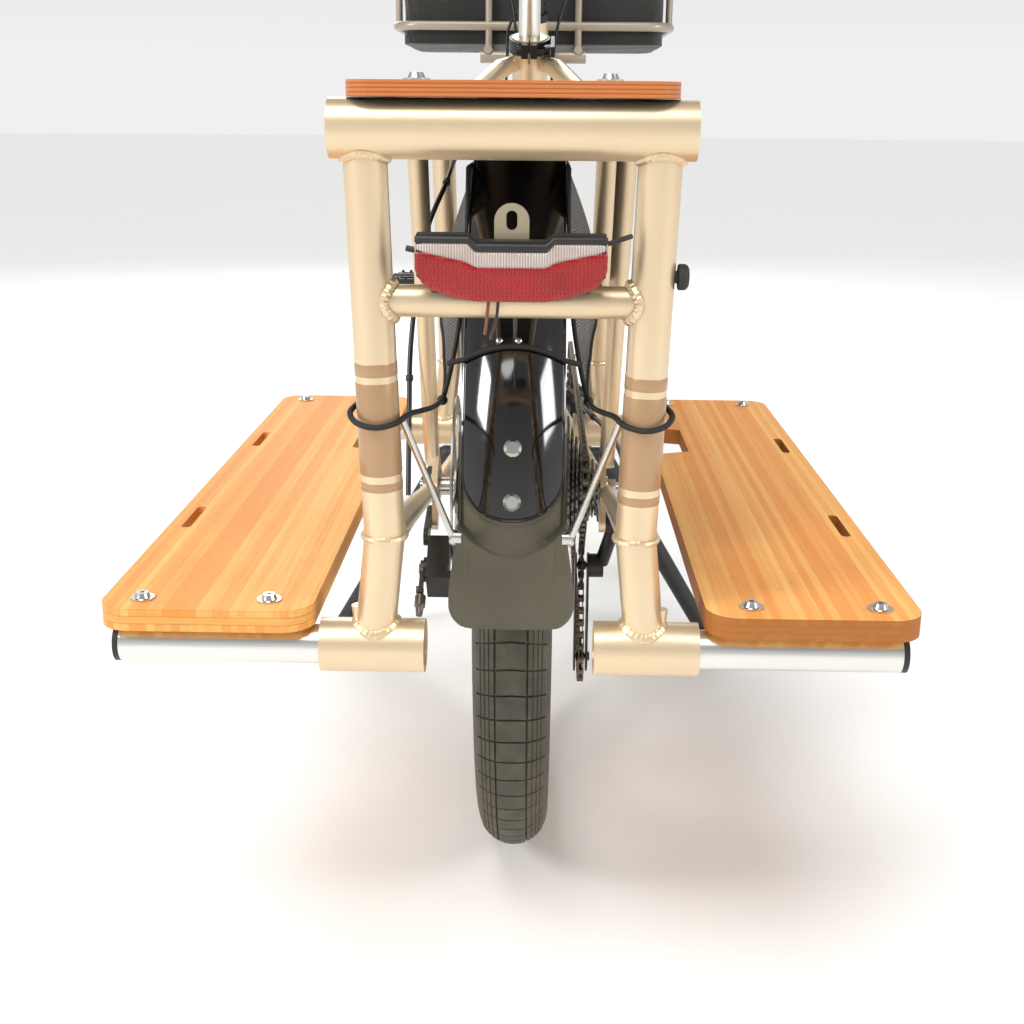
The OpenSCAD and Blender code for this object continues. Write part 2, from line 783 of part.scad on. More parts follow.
module pedal_right() {
    pedal(151, bb.z - crank_len);
}

module pedal_left() {
    pedal(-151, bb.z + crank_len);
}

// ---------- Seat ----------

module on_seat_tube(h) {
    translate(bb + h * up_axis) rotate([lean, 0, 0]) children();
}

module seat_clamp() {
    color(satin_black) bike() on_seat_tube(512) {
        difference() {
            union() {
                cylinder(h = 17, d = 52);
                translate([-10, -34, 0]) cube([20, 14, 17]);
            }
            translate([0, 0, -1]) cylinder(h = 30, d = 44.1);
            translate([-1.5, -40, -1]) cube([3, 20, 30]);
            translate([0, -29, 8.5]) rotate([0, 90, 0]) cylinder(h = 60, d = 5.12, center = true);
        }
        // Skewer, its nut and the lever's pin.
        disc_x(4, -29, 8.5, 5, 40);
        disc_x(-13.2, -29, 8.5, 13, 6);
        translate([clamp_pin_x, -29, 1.5]) cylinder(h = 14, d = 4);
    }
}

module seat_clamp_lever() {
    color([0.3, 0.3, 0.3]) bike() on_seat_tube(512) difference() {
        union() {
            for (z = [2, 11.6]) translate([clamp_pin_x, -29, z]) cylinder(h = 3.4, d = 11);
            translate([clamp_pin_x + 3.2, -33, 2]) cube([4.6, 48, 13]);
        }
        translate([clamp_pin_x, -29, -5]) cylinder(h = 40, d = 4.12);
    }
}

module seatpost() {
    color(bright) bike() {
        rod(bb + 340 * up_axis, bb + (530 + post_out) * up_axis, 27.2);
        // Saddle clamp head.
        on_seat_tube(530 + post_out) difference() {
            union() {
                translate([0, 0, 8]) rotate([0, 90, 0]) cylinder(h = 42, d = 30, center = true);
                translate([0, 0, -4]) cylinder(h = 14, d = 32);
            }
            for (x = [-21.4, 21.4]) translate([x, 0, 16 / cos(lean)]) rotate([90 - lean, 0, 0])
                cylinder(h = 80, d = 7.8, center = true);
        }
    }
}

saddle_z = bb.z + (530 + post_out) * cos(lean) + 52;
saddle_y = bb.y - (530 + post_out) * sin(lean);

module saddle_section(y, w, t, drop) {
    translate([0, saddle_y + y, saddle_z - drop]) rotate([90, 0, 0])
        linear_extrude(height = 2, center = true) offset(r = t / 2 - 1, $fn = 32)
            square([w - t + 2, 2], center = true);
}

module saddle() {
    color([0.10, 0.10, 0.10]) bike() {
        hull() {
            saddle_section(-128, 110, 30, 2);
            saddle_section(-60, 150, 38, 2);
        }
        hull() {
            saddle_section(-60, 150, 38, 2);
            saddle_section(20, 76, 32, 4);
        }
        hull() {
            saddle_section(20, 76, 32, 4);
            saddle_section(120, 34, 26, 6);
        }
        both() swept(smooth([[21.4, saddle_y - 92, saddle_z - 20], [21.4, saddle_y - 58, saddle_z - 34.6],
            [21.4, saddle_y - 40, saddle_z - 36], [21.4, saddle_y, saddle_z - 36],
            [21.4, saddle_y + 40, saddle_z - 36], [12, saddle_y + 108, saddle_z - 19]], 5), 7, 8);
    }
}

// ---------- Front end ----------

crown = head_bottom - 30 * up_axis;
fork_tip = [0, front_axle_y, wheel_z];

module fork() {
    color(champagne) bike() difference() {
        union() {
            rod(crown, head_top + 78 * up_axis, 28.6);
            rod(head_bottom - 12.3 * up_axis, crown, 46);
            rod(crown + [-52, 4, -2], crown + [52, 4, -2], 34);
            both() {
                knuckle(crown + [52, 4, -2], 34);
                rod(crown + [52, 4, -2], fork_tip + [57, -8, 22], 32, 22);
                plate_x(51.5, 9) hull() {
                    translate([fork_tip.y, fork_tip.z]) circle(r = 13, $fn = 32);
                    translate([fork_tip.y - 9, fork_tip.z + 30]) circle(r = 9, $fn = 32);
                }
            }
            // Tab for the brake caliper on the left leg.
            plate_x(-53, 4.6) hull() {
                translate([fork_tip.y - 34, fork_tip.z + 82]) circle(r = 8, $fn = 32);
                translate([fork_tip.y - 48, fork_tip.z + 62]) circle(r = 8, $fn = 32);
            }
        }
        disc_x(0, fork_tip.y, fork_tip.z, 9.06, 160);
    }
}

module front_caliper() {
    color(satin_black) bike() translate([0, front_axle_y, 0]) caliper_body(front_disc_x, 10, 6, 146, 86);
}

module front_fender() {
    color(satin_black) bike() {
        difference() {
            fender_shell(front_axle_y, 35, 175, 75);
            // Room for the fork crown.
            rod(crown + [-50, 4, -2], crown + [50, 4, -2], 34.4);
        }
        translate([0, front_axle_y, 0]) both() rod([63.4, -14, wheel_z + 14], [37, -334, wheel_z + 102], 4.5);
    }
}

module stem() {
    clamp_z = head_top + 45 * up_axis;
    color(satin_black) bike() difference() {
        union() {
            rod(head_top + 12.2 * up_axis, head_top + 80 * up_axis, 38);
            rod(clamp_z, bar_centre, 32);
            disc_x(0, bar_centre.y, bar_centre.z, 40, 46);
        }
        rod(head_top + 5 * up_axis, head_top + 78.1 * up_axis, 28.7);
        disc_x(0, bar_centre.y, bar_centre.z, 25.5, 60);
    }
}

module on_bar(side) {
    mirror([side < 0 ? 1 : 0, 0, 0]) translate(bar_centre + [bar_bend, -bar_back, bar_rise])
        rotate([0, 0, -bar_sweep]) children();
}

module handlebar() {
    bend = bar_centre + [bar_bend, -bar_back, bar_rise];
    rise_top = bar_centre + [100, -14, bar_rise - 4];
    rise_foot = bar_centre + [52, 0, 2];
    tip = bend + (bar_w / 2 - bar_bend) * [1, -tan(bar_sweep), 0];
    color(satin_black) bike() {
        rod(mirror_x(rise_foot) - [0, 0, 2], rise_foot - [0, 0, 2], 25.4);
        both() {
            knuckle(rise_foot - [0, 0, 2], 25.4);
            rod(rise_foot - [0, 0, 2], rise_top, 25.4, 23);
            knuckle(rise_top, 23);
            rod(rise_top, bend, 22.6);
            knuckle(bend, 22.2);
            rod(bend, tip, 22.2);
        }
    }
}

module grip(start) {
    length = (bar_w / 2 - bar_bend) / cos(bar_sweep) - start;
    translate([start, 0, 0]) rotate([0, 90, 0]) {
        difference() {
            union() {
                cylinder(h = length, d = 32);
                cylinder(h = 5, d = 37);
            }
            translate([0, 0, -1]) cylinder(h = length + 2, d = 22.3);
        }
        translate([0, 0, length + 0.3]) cylinder(h = 4, d = 32);
    }
}

module grips() {
    color([0.10, 0.10, 0.10]) bike() {
        on_bar(1) grip(shifter_start + shifter_len + 1);
        on_bar(-1) grip(grip_start);
    }
}

module lever_brackets() {
    color(satin_black) bike() for (side = [1, -1]) on_bar(side) rotate([-30, 0, 0]) difference() {
        union() {
            translate([lever_start, 0, 0]) rotate([0, 90, 0]) cylinder(h = 18, d = 32);
            translate([lever_start, 12, -9]) cube([30, 22, 18]);
            translate([lever_start + 22, 34, 0]) cylinder(h = 18, d = 20, center = true);
        }
        translate([lever_start - 5, 0, 0]) rotate([0, 90, 0]) cylinder(h = 60, d = 22.3);
        translate([lever_start + 22, 34, 0]) cylinder(h = 9.4, d = 40, center = true);
    }
    // Pivot pins.
    color(bright) bike() for (side = [1, -1]) on_bar(side) rotate([-30, 0, 0])
        translate([lever_start + 22, 34, 0]) cylinder(h = 19, d = 5, center = true);
}

module lever_blade() {
    rotate([-30, 0, 0]) difference() {
        union() {
            translate([lever_start + 22, 34, 0]) cylinder(h = 8.8, d = 18, center = true);
            rod([lever_start + 26, 37, 0], [lever_start + 66, 53, 0], 8.6);
            knuckle([lever_start + 66, 53, 0], 8.6);
            rod([lever_start + 66, 53, 0], [lever_start + 130, 50, 0], 8.6, 8);
            knuckle([lever_start + 130, 50, 0], 10);
        }
        translate([lever_start + 22, 34, 0]) cylinder(h = 30, d = 5.12, center = true);
    }
}

module brake_lever_right() {
    color([0.2, 0.2, 0.2]) bike() on_bar(1) lever_blade();
}

module brake_lever_left() {
    color([0.2, 0.2, 0.2]) bike() on_bar(-1) lever_blade();
}

module twist_shifter() {
    color([0.09, 0.09, 0.09]) bike() on_bar(1) translate([shifter_start, 0, 0]) rotate([0, 90, 0])
        difference() {
        union() {
            cylinder(h = shifter_len, d = 33);
            for (a = [0 : 24 : 336]) rotate(a) translate([15.6, 0, 8]) cylinder(h = shifter_len - 10, d = 4);
        }
        translate([0, 0, -1]) cylinder(h = shifter_len + 2, d = 22.34);
    }
}

module control_cables() {
    rear_brake = [[-170, 1098, 1068], [-150, 1130, 1040], [-90, 1146, 980], [-44, 1130, 900],
        [-30, 1096, 838],
        [-24, 1040, 800], [-23, 900, 762], [-24, 700, 722], [-40, 560, 726], [-56, 470, 718],
        [-68, 360, 690], [-73, 300, 668], [-74, 240, 660], [-78, 110, 632], [-96, 55, 580],
        [-106, 10, 490], [-106, -22, 420], [-104, -62, 352]];
    shift = [[150, 1088, 1046], [140, 1122, 1010], [90, 1146, 950], [50, 1130, 870], [34, 1105, 790],
        [32, 1060, 690], [30, 900, 520], [30, 760, 380], [43, 700, 334], [55, 600, 330],
        [70, 490, 336], [73, 400, 350], [73, 270, 365], [90, 180, 366], [101, 60, 370],
        [103, -30, 360], [99, -50, 330]];
    color(satin_black) bike() for (r = [rear_brake, shift]) swept(smooth(r, 4), 5, 8);
}

module front_brake_cable() {
    route = [[170, 1098, 1068], [148, 1128, 1026], [90, 1112, 976], [40, 1118, 920], [-18, 1124, 872],
        [-42, 1101, 832], [-43, 1091, 790], [-49, 1117, 726], [-74, 1128, 682], [-77, 1152, 636],
        [-79, 1185, 560], [-77, 1222, 470], [-70, 1228, 432]];
    color(satin_black) bike() swept(smooth(route, 4), 5, 8);
}

// ---------- Basket ----------

module basket_ring(z, d) {
    x = basket_w / 2 - 8;
    y0 = basket_y + 8;
    y1 = basket_y + basket_d - 8;
    c = 40;
    both() {
        rod([x, y0 + c, z], [x, y1 - c, z], d);
        for (e = [[y0 + c, 180], [y1 - c, 0]]) translate([x - c, e[0], z]) rotate([0, 0, e[1] == 0 ? 0 : 270])
            rotate_extrude(angle = 90) translate([c, 0]) circle(d = d);
    }
    for (y = [y0, y1]) rod([-x + c, y, z], [x - c, y, z], d);
}

module basket() {
    x = basket_w / 2 - 8;
    y0 = basket_y + 8;
    y1 = basket_y + basket_d - 8;
    color([0.62, 0.55, 0.45]) bike() {
        basket_ring(basket_rail_z, 15.4);
        basket_ring(basket_top_z - 7.7, 15.4);
        for (px = [-77, 77], y = [y0, y1]) rod([px, y, basket_floor_z - 4], [px, y, basket_top_z - 8], 12);
        both() for (y = [y0 + 60, y1 - 60]) rod([x, y, basket_rail_z], [x, y, basket_top_z - 8], 12);
        for (px = [-77, 77]) rod([px, 1128, basket_floor_z - 6], [px, y1, basket_floor_z - 6], 14);
        rod([-90, 1139, 790], [90, 1139, 790], 20);
        rod([0, 1122, 790], [0, 1139, 790], 30);
    }
}

module liner_block(w, d, h) {
    c = 34;
    linear_extrude(height = h) union() {
        square([w - 2 * c, d], center = true);
        square([w, d - 2 * c], center = true);
        for (x = [-1, 1], y = [-1, 1]) translate([x * (w / 2 - c), y * (d / 2 - c)]) circle(r = c);
    }
}

module basket_liner() {
    w = basket_w - 33;
    d = basket_d - 33;
    wall = 2.4;
    color([0.10, 0.10, 0.10]) bike() translate([0, basket_y + basket_d / 2, basket_floor_z + 1.6])
        difference() {
        liner_block(w, d, basket_top_z - basket_floor_z - 12);
        translate([0, 0, wall]) liner_block(w - 2 * wall, d - 2 * wall, 300);
    }
}

// ---------- Stand ----------

module kickstand_bracket() {
    color([0.13, 0.13, 0.13]) bike() difference() {
        union() {
            translate([-44, stand_pivot.y - 16, 295]) cube([88, 32, 5.9]);
            both() plate_x(32, 9) hull() {
                translate([stand_pivot.y, stand_pivot.z]) circle(r = 19, $fn = 32);
                translate([stand_pivot.y - 15, 290]) square([30, 8]);
            }
        }
        disc_x(0, stand_pivot.y, stand_pivot.z, 26.12, 300);
    }
}

module kickstand() {
    knee = [104, stand_pivot.y, stand_pivot.z];
    foot = [stand_foot_x, stand_pivot.y + 10, 16];
    color([0.13, 0.13, 0.13]) bike() {
        disc_x(0, stand_pivot.y, stand_pivot.z, 26, 208);
        both() {
            knuckle(knee, 26);
            rod(knee, foot, 26, 22);
            translate([foot.x, foot.y, 0]) cylinder(h = 19, d = 34);
        }
    }
}

main_frame();
rear_stays();
rack_frame();
deck_board();
side_loader_tubes();
tube_end_caps();
running_board_left();
running_board_right();
board_bolts();
tail_light_bracket();
tail_light_housing();
tail_light_lens();
light_wires();
rear_fender();
rear_mudflap();
fender_fixings();
wheel_skirts();
skirt_cords();
rear_axle();
rear_hub();
rear_rim();
rear_tyre();
rear_spokes();
rear_disc();
rear_caliper();
cassette();
chain();
derailleur();
guide_pulley();
tension_pulley();
bearing_cups();
crankset();
pedal_left();
pedal_right();
seat_clamp();
seat_clamp_lever();
seatpost();
saddle();
fork();
front_axle();
front_hub();
front_rim();
front_tyre();
front_spokes();
front_disc();
front_caliper();
front_fender();
stem();
handlebar();
grips();
lever_brackets();
brake_lever_left();
brake_lever_right();
twist_shifter();
control_cables();
front_brake_cable();
basket();
basket_liner();
kickstand_bracket();
kickstand();
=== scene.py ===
"""Looks for the cargo bicycle: materials, camera, light and the detailed pieces.

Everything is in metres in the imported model's frame. Route and shape points are written in
millimetres measured from the rear axle's place along Y, and at() turns them into metres.
"""

import math
from math import cos, pi, radians, sin

import bmesh
import bpy
from mathutils import Matrix, Vector


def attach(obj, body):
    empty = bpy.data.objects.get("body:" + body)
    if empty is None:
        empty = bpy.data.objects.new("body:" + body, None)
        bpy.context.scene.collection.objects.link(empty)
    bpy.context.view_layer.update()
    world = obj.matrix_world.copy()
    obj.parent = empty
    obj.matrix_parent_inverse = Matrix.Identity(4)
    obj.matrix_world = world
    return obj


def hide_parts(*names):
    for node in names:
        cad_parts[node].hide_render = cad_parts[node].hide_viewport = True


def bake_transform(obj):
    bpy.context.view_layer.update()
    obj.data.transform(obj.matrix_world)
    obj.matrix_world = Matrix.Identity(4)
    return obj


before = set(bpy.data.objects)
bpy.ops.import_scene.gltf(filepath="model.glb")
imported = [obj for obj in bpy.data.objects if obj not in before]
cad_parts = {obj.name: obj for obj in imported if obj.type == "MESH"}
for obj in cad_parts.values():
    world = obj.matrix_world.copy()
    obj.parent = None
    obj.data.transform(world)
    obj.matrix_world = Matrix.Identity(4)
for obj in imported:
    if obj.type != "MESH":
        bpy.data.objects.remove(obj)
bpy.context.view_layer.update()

# ---------------------------------------------------------------- sizes, in millimetres

REAR_AXLE_Y = -596
WHEELBASE = 1296
WHEEL_Z = 344
TYRE_CENTRE_R = 311
RIM_R = 280
LEAN = radians(18.7)
BB = Vector((0, 695, 290))
UP_AXIS = Vector((0, -sin(LEAN), cos(LEAN)))
HEAD_BOTTOM = Vector((0, 1127, 704))
HEAD_TOP = HEAD_BOTTOM + 150 * UP_AXIS
SEAT_TOP = BB + 530 * UP_AXIS
POST_OUT = 190
UPRIGHT_TOP = Vector((93, -416, 690))
UPRIGHT_KINK = Vector((86, -406, 422))
UPRIGHT_FOOT = Vector((95, -404, 340))
RAIL_X = 93
RAIL_Z = 690
FRONT_POST_Y = 270
REAR_POST_Y = -404
SIDE_TUBE_Z = 340
UPRIGHT_R = 14
TOP_BAR_R = 18.5
SOCKET_R = 19
HEAD_TUBE_R = 25
SEAT_TUBE_R = 22
DOWN_TUBE_R = 23
BOARD_BOLT_X = (168, 257)
DECK_BOLT_X = (-60, 60)
DECK_BOLT_Y = (-410, 240)
SPOKES = 32
FENDER_HALF = 37.3
BAR_BEND = Vector((142, 1074, 1070))
BAR_HALF = 320
BAR_SWEEP = radians(24)
CHAIN_X = 64
CHAIN_PITCH = 12.7


def at(x, y, z):
    """A point given in millimetres from the rear axle's place, as metres in the row frame."""
    return Vector((x / 1000, (y + REAR_AXLE_Y) / 1000, z / 1000))


def flipped(p):
    """The same point on the other side of the centre plane."""
    return Vector((-p[0], p[1], p[2]))


def circle(centre, u, v, radius, count):
    """Points round a circle in the plane of u and v."""
    turns = [2 * pi * k / count for k in range(count)]
    return [centre + radius * (cos(a) * u + sin(a) * v) for a in turns]


def smooth_route(points, steps=6):
    """A Catmull-Rom curve through given points."""
    points = [Vector(p) for p in points]
    last = len(points) - 1
    route = []
    for i in range(last):
        a, b = points[max(i - 1, 0)], points[i]
        c, d = points[i + 1], points[min(i + 2, last)]
        for k in range(steps):
            t = k / steps
            route.append(0.5 * (2 * b + (c - a) * t + (2 * a - 5 * b + 4 * c - d) * t * t
                                + (3 * b - a - 3 * c + d) * t ** 3))
    return route + [points[last]]


# ---------------------------------------------------------------- camera, floor and light

def make_camera():
    """The photograph's view: close behind the bicycle, looking forward and a little down."""
    yaw, pitch, roll = -0.02001, 0.290164, 0.00821
    forward = Vector((sin(yaw) * cos(pitch), cos(yaw) * cos(pitch), -sin(pitch)))
    level = Vector((cos(yaw), -sin(yaw), 0))
    above = level.cross(forward)
    right = cos(roll) * level + sin(roll) * above
    up = cos(roll) * above - sin(roll) * level
    data = bpy.data.cameras.new("camera")
    data.sensor_width = 36
    data.lens = 47.13
    data.clip_end = 100
    camera = bpy.data.objects.new("camera", data)
    turn = Matrix((right, up, -forward)).transposed().to_4x4()
    camera.matrix_world = Matrix.Translation((0.01874, -1.87672, 0.70062)) @ turn
    bpy.context.scene.collection.objects.link(camera)
    bpy.context.scene.camera = camera


def area_light(name, place, target, size, power, colour):
    data = bpy.data.lights.new(name, "AREA")
    data.shape = "SQUARE"
    data.size = size
    data.energy = power
    data.color = colour
    lamp = bpy.data.objects.new(name, data)
    lamp.location = place
    lamp.rotation_euler = (Vector(target) - Vector(place)).to_track_quat("-Z", "Y").to_euler()
    bpy.context.scene.collection.objects.link(lamp)


def make_light():
    area_light("key_light", (-2.6, -2.3, 2.2), (0, -0.8, 0.5), 0.9, 62, (1.0, 0.99, 0.96))
    area_light("fill_light", (2.9, -2.2, 2.1), (0, -0.8, 0.5), 1.1, 48, (1.0, 0.99, 0.97))
    area_light("front_light", (-0.5, 3.4, 2.4), (0, 0.3, 0.5), 2.0, 55, (1.0, 1.0, 1.0))
    sun = bpy.data.lights.new("soft_sky", "SUN")
    sun.energy = 1.75
    sun.angle = radians(38)
    sky = bpy.data.objects.new("soft_sky", sun)
    sky.rotation_euler = (radians(24), radians(-12), 0)
    bpy.context.scene.collection.objects.link(sky)
    world = bpy.data.worlds.new("studio")
    world.use_nodes = True
    nodes, links = world.node_tree.nodes, world.node_tree.links
    # Bright at the horizon and darker overhead, so that black parts stay black.
    direction = nodes.new("ShaderNodeTexCoord").outputs["Generated"]
    height = nodes.new("ShaderNodeSeparateXYZ")
    links.new(direction, height.inputs[0])
    ramp = nodes.new("ShaderNodeMapRange")
    links.new(height.outputs[2], ramp.inputs["Value"])
    for name, value in (("From Min", 0.04), ("From Max", 0.55), ("To Min", 0.87), ("To Max", 0.34)):
        ramp.inputs[name].default_value = value
    links.new(ramp.outputs["Result"], nodes["Background"].inputs["Strength"])
    nodes["Background"].inputs["Color"].default_value = (1, 1, 1, 1)
    scene = bpy.context.scene
    scene.world = world
    scene.view_settings.view_transform = "Standard"


# ---------------------------------------------------------------- materials

def rgb(red, green, blue):
    """Linear colour from the eight-bit values that a picture shows."""
    return tuple(((c / 255 + 0.055) / 1.055) ** 2.4 if c > 10 else c / 255 / 12.92
                 for c in (red, green, blue))


def shade(colour, factor):
    return tuple(min(1.0, c * factor) for c in colour)


class Shade:
    """One material and short ways to add nodes to it."""

    def __init__(self, name):
        self.material = bpy.data.materials.new(name)
        self.material.use_nodes = True
        tree = self.material.node_tree
        self.nodes, self.links = tree.nodes, tree.links
        self.shader = self.nodes["Principled BSDF"]
        self.place = self.nodes.new("ShaderNodeTexCoord").outputs["Object"]

    def feed(self, socket, value):
        if isinstance(value, bpy.types.NodeSocket):
            self.links.new(value, socket)
        elif isinstance(value, tuple) and len(value) == 3 and len(socket.default_value) == 4:
            socket.default_value = (*value, 1)
        else:
            socket.default_value = value

    def set(self, **values):
        for name, value in values.items():
            self.feed(self.shader.inputs[name.replace("_", " ").title()], value)

    def math(self, operation, *values, clamp=False):
        node = self.nodes.new("ShaderNodeMath")
        node.operation = operation
        node.use_clamp = clamp
        for socket, value in zip(node.inputs, values):
            self.feed(socket, value)
        return node.outputs[0]

    def mix(self, factor, a, b, how="MIX"):
        node = self.nodes.new("ShaderNodeMix")
        node.data_type = "RGBA"
        node.blend_type = how
        for index, value in ((0, factor), (6, a), (7, b)):
            self.feed(node.inputs[index], value)
        return node.outputs[2]

    def scaled(self, stretch, place=None):
        node = self.nodes.new("ShaderNodeMapping")
        self.feed(node.inputs["Vector"], place or self.place)
        node.inputs["Scale"].default_value = stretch
        return node.outputs[0]

    def noise(self, scale, detail=3.0, stretch=(1, 1, 1), rough=0.5):
        node = self.nodes.new("ShaderNodeTexNoise")
        self.feed(node.inputs["Vector"], self.scaled(stretch))
        node.inputs["Scale"].default_value = scale
        node.inputs["Detail"].default_value = detail
        node.inputs["Roughness"].default_value = rough
        return node.outputs[0]

    def random(self, vector):
        node = self.nodes.new("ShaderNodeTexWhiteNoise")
        node.noise_dimensions = "3D"
        self.feed(node.inputs["Vector"], vector)
        return node.outputs["Value"]

    def axes(self, vector=None):
        node = self.nodes.new("ShaderNodeSeparateXYZ")
        self.feed(node.inputs[0], vector or self.place)
        return node.outputs

    def joined(self, x, y, z):
        node = self.nodes.new("ShaderNodeCombineXYZ")
        for socket, value in zip(node.inputs, (x, y, z)):
            self.feed(socket, value)
        return node.outputs[0]

    def facing(self):
        """The surface's own normal, in the piece's axes."""
        node = self.nodes.new("ShaderNodeTexCoord")
        return self.axes(node.outputs["Normal"])

    def side(self):
        """1 on upright faces and 0 on level ones."""
        return self.inverse(self.step(self.math("ABSOLUTE", self.facing()[2]), 0.6, 0.1))

    def times(self, a, b, clamp=False):
        return self.math("MULTIPLY", a, b, clamp=clamp)

    def inverse(self, value):
        return self.math("SUBTRACT", 1.0, value)

    def cells(self, scale, place=None):
        """A field of scattered points, whose distance output is small near each point."""
        node = self.nodes.new("ShaderNodeTexVoronoi")
        self.feed(node.inputs["Vector"], place or self.place)
        node.inputs["Scale"].default_value = scale
        return node

    def step(self, value, edge, soft):
        """0 below edge and 1 above it, over a width of soft."""
        return self.math("MULTIPLY_ADD", value, 1 / soft, 0.5 - edge / soft, clamp=True)

    def bump(self, height, distance, strength=1.0):
        node = self.nodes.new("ShaderNodeBump")
        node.inputs["Distance"].default_value = distance
        node.inputs["Strength"].default_value = strength
        self.feed(node.inputs["Height"], height)
        self.feed(self.shader.inputs["Normal"], node.outputs[0])


def surface(name, colour, rough, metallic=0.0, coat=0.0, tone=0.07, tone_scale=14,
            grain=700, depth=0.00002, stretch=(1, 1, 1), dust=0.0, spread=0.10):
    """A finish with uneven tone, fine grain in its bump and roughness, and dust on top faces."""
    s = Shade(name)
    broad = s.noise(tone_scale, 4)
    fine = s.noise(grain, 3, stretch)
    tinted = s.mix(broad, shade(colour, 1 - tone), shade(colour, 1 + tone))
    if dust:
        upward = s.math("MAXIMUM", s.facing()[2], 0.25)
        patches = s.times(s.noise(55, 5), upward)
        tinted = s.mix(s.times(patches, dust, clamp=True), tinted, rgb(150, 138, 118))
    s.set(base_color=tinted, metallic=metallic,
          roughness=s.math("MULTIPLY_ADD", s.mix(0.5, broad, fine), spread, rough - spread / 2))
    if coat:
        s.set(coat_weight=coat, coat_roughness=0.08)
    s.bump(fine, depth)
    return s.material


# Bamboo strips, plies and undersides of the boards and the deck, and the net's pitch, in metres.
BOARD_STRIP, BOARD_PLY, BOARD_UNDERSIDE = 0.0058, 0.00534, 0.356
DECK_STRIP, DECK_PLY, DECK_UNDERSIDE = 0.0190, 0.0026, 0.7088
NET_PITCH = 0.0052


def bamboo_material(name, painted_edge_shade):
    """Bamboo strips along the board; the middle of its three plies runs across, and its upright
    faces get painted shade.
    """
    s = Shade(name)
    x, y, z = s.axes()
    strips = s.times(x, 1 / BOARD_STRIP)
    plies = s.times(s.math("SUBTRACT", z, BOARD_UNDERSIDE), 1 / BOARD_PLY)
    layer = s.math("FLOOR", plies)
    own = s.random(s.joined(s.math("FLOOR", strips), 3.1, layer))
    length = s.math("ADD", s.times(y, 1 / 0.30), s.times(own, 9.0))
    ring = s.math("ABSOLUTE", s.math("SUBTRACT", s.math("FRACT", length), 0.5))
    ring = s.inverse(s.step(ring, 0.008, 0.012))
    fibre = s.noise(1, 4, (1500, 26, 1500), 0.6)
    streak = s.step(s.noise(1, 3, (420, 5, 420), 0.6), 0.52, 0.30)
    haze = s.noise(16, 3, (1, 0.25, 1))
    tone = s.math("MULTIPLY_ADD", own, 0.70, s.times(haze, 0.30))
    colour = s.mix(tone, rgb(232, 146, 66), rgb(255, 204, 122))
    colour = s.mix(s.times(fibre, 0.36), colour, rgb(190, 112, 50))
    colour = s.mix(s.times(streak, 0.26), colour, rgb(206, 122, 50))
    colour = s.mix(s.times(ring, 0.10), colour, rgb(158, 92, 42))
    seam = s.math("ABSOLUTE", s.math("SUBTRACT", s.math("FRACT", strips), 0.5))
    seam = s.step(seam, 0.465, 0.05)
    colour = s.mix(s.times(seam, 0.16), colour, rgb(150, 92, 44))
    # Edges: the middle ply shows its long grain, with a dark glue line above and below.
    side = s.side()
    middle = s.math("COMPARE", layer, 1.0, 0.1)
    across = s.mix(s.noise(1, 4, (24, 24, 1700), 0.6), rgb(206, 126, 54), rgb(252, 192, 112))
    colour = s.mix(s.times(side, middle), colour, across)
    glue = s.math("ABSOLUTE", s.math("SUBTRACT", s.math("FRACT", plies), 0.5))
    glue = s.times(side, s.step(glue, 0.44, 0.06))
    colour = s.mix(s.times(glue, 0.45), colour, rgb(142, 82, 34))
    # Painted shade: the upright faces are darkened towards dark brown, more on the right board than
    # on the left.
    colour = s.mix(s.times(side, painted_edge_shade), colour, rgb(146, 84, 32))
    s.set(base_color=colour, roughness=s.math("MULTIPLY_ADD", fibre, 0.16, 0.52))
    s.shader.inputs["Specular IOR Level"].default_value = 0.28
    s.bump(s.math("SUBTRACT", fibre, s.times(seam, 0.6)), 0.00006)
    return s.material


def ply_material():
    """Lacquered deck ply: bamboo face strips above, thin dark and light plies round the edge, and
    painted shade underneath.
    """
    s = Shade("deck_plywood")
    x, _, z = s.axes()
    strip = s.math("FLOOR", s.times(x, 1 / DECK_STRIP))
    own = s.random(s.joined(strip, 7.7, 0.0))
    fibre = s.noise(1, 4, (1100, 20, 1100), 0.62)
    haze = s.noise(11, 3, (1, 0.3, 1))
    top = s.mix(s.math("MULTIPLY_ADD", own, 0.5, s.times(haze, 0.5)),
                rgb(206, 128, 62), rgb(236, 168, 98))
    top = s.mix(s.times(fibre, 0.36), top, rgb(150, 86, 38))
    wave = s.times(s.noise(9, 2), 0.0006)
    height = s.math("ADD", s.math("SUBTRACT", z, DECK_UNDERSIDE), wave)
    ply = s.math("FRACT", s.times(height, 1 / DECK_PLY))
    dark = s.times(s.inverse(s.step(ply, 0.30, 0.16)), 0.62)
    edge = s.mix(dark, s.mix(haze, rgb(206, 120, 50), rgb(176, 96, 38)), rgb(92, 50, 22))
    side = s.side()
    # Painted shade: faces that look down are coloured near black.
    top = s.mix(s.step(s.times(s.facing()[2], -1), 0.6, 0.1), top, rgb(20, 16, 13))
    s.set(base_color=s.mix(side, top, edge), roughness=s.math("MULTIPLY_ADD", fibre, 0.14, 0.32))
    s.set(coat_weight=0.35, coat_roughness=0.15)
    s.bump(fibre, 0.00005)
    return s.material


def tyre_material():
    """Black rubber of uneven tone and roughness, powdered with patches of road dust."""
    s = Shade("tyre_tread")
    broad, fine = s.noise(22, 5), s.noise(900, 2)
    patches = s.step(s.noise(60, 5), 0.52, 0.35)
    colour = s.mix(broad, rgb(46, 43, 35), rgb(72, 68, 54))
    colour = s.mix(s.times(patches, 0.22), colour, rgb(122, 112, 88))
    s.set(base_color=colour, roughness=s.math("MULTIPLY_ADD", broad, 0.2, 0.56))
    s.bump(fine, 0.00005)
    return s.material


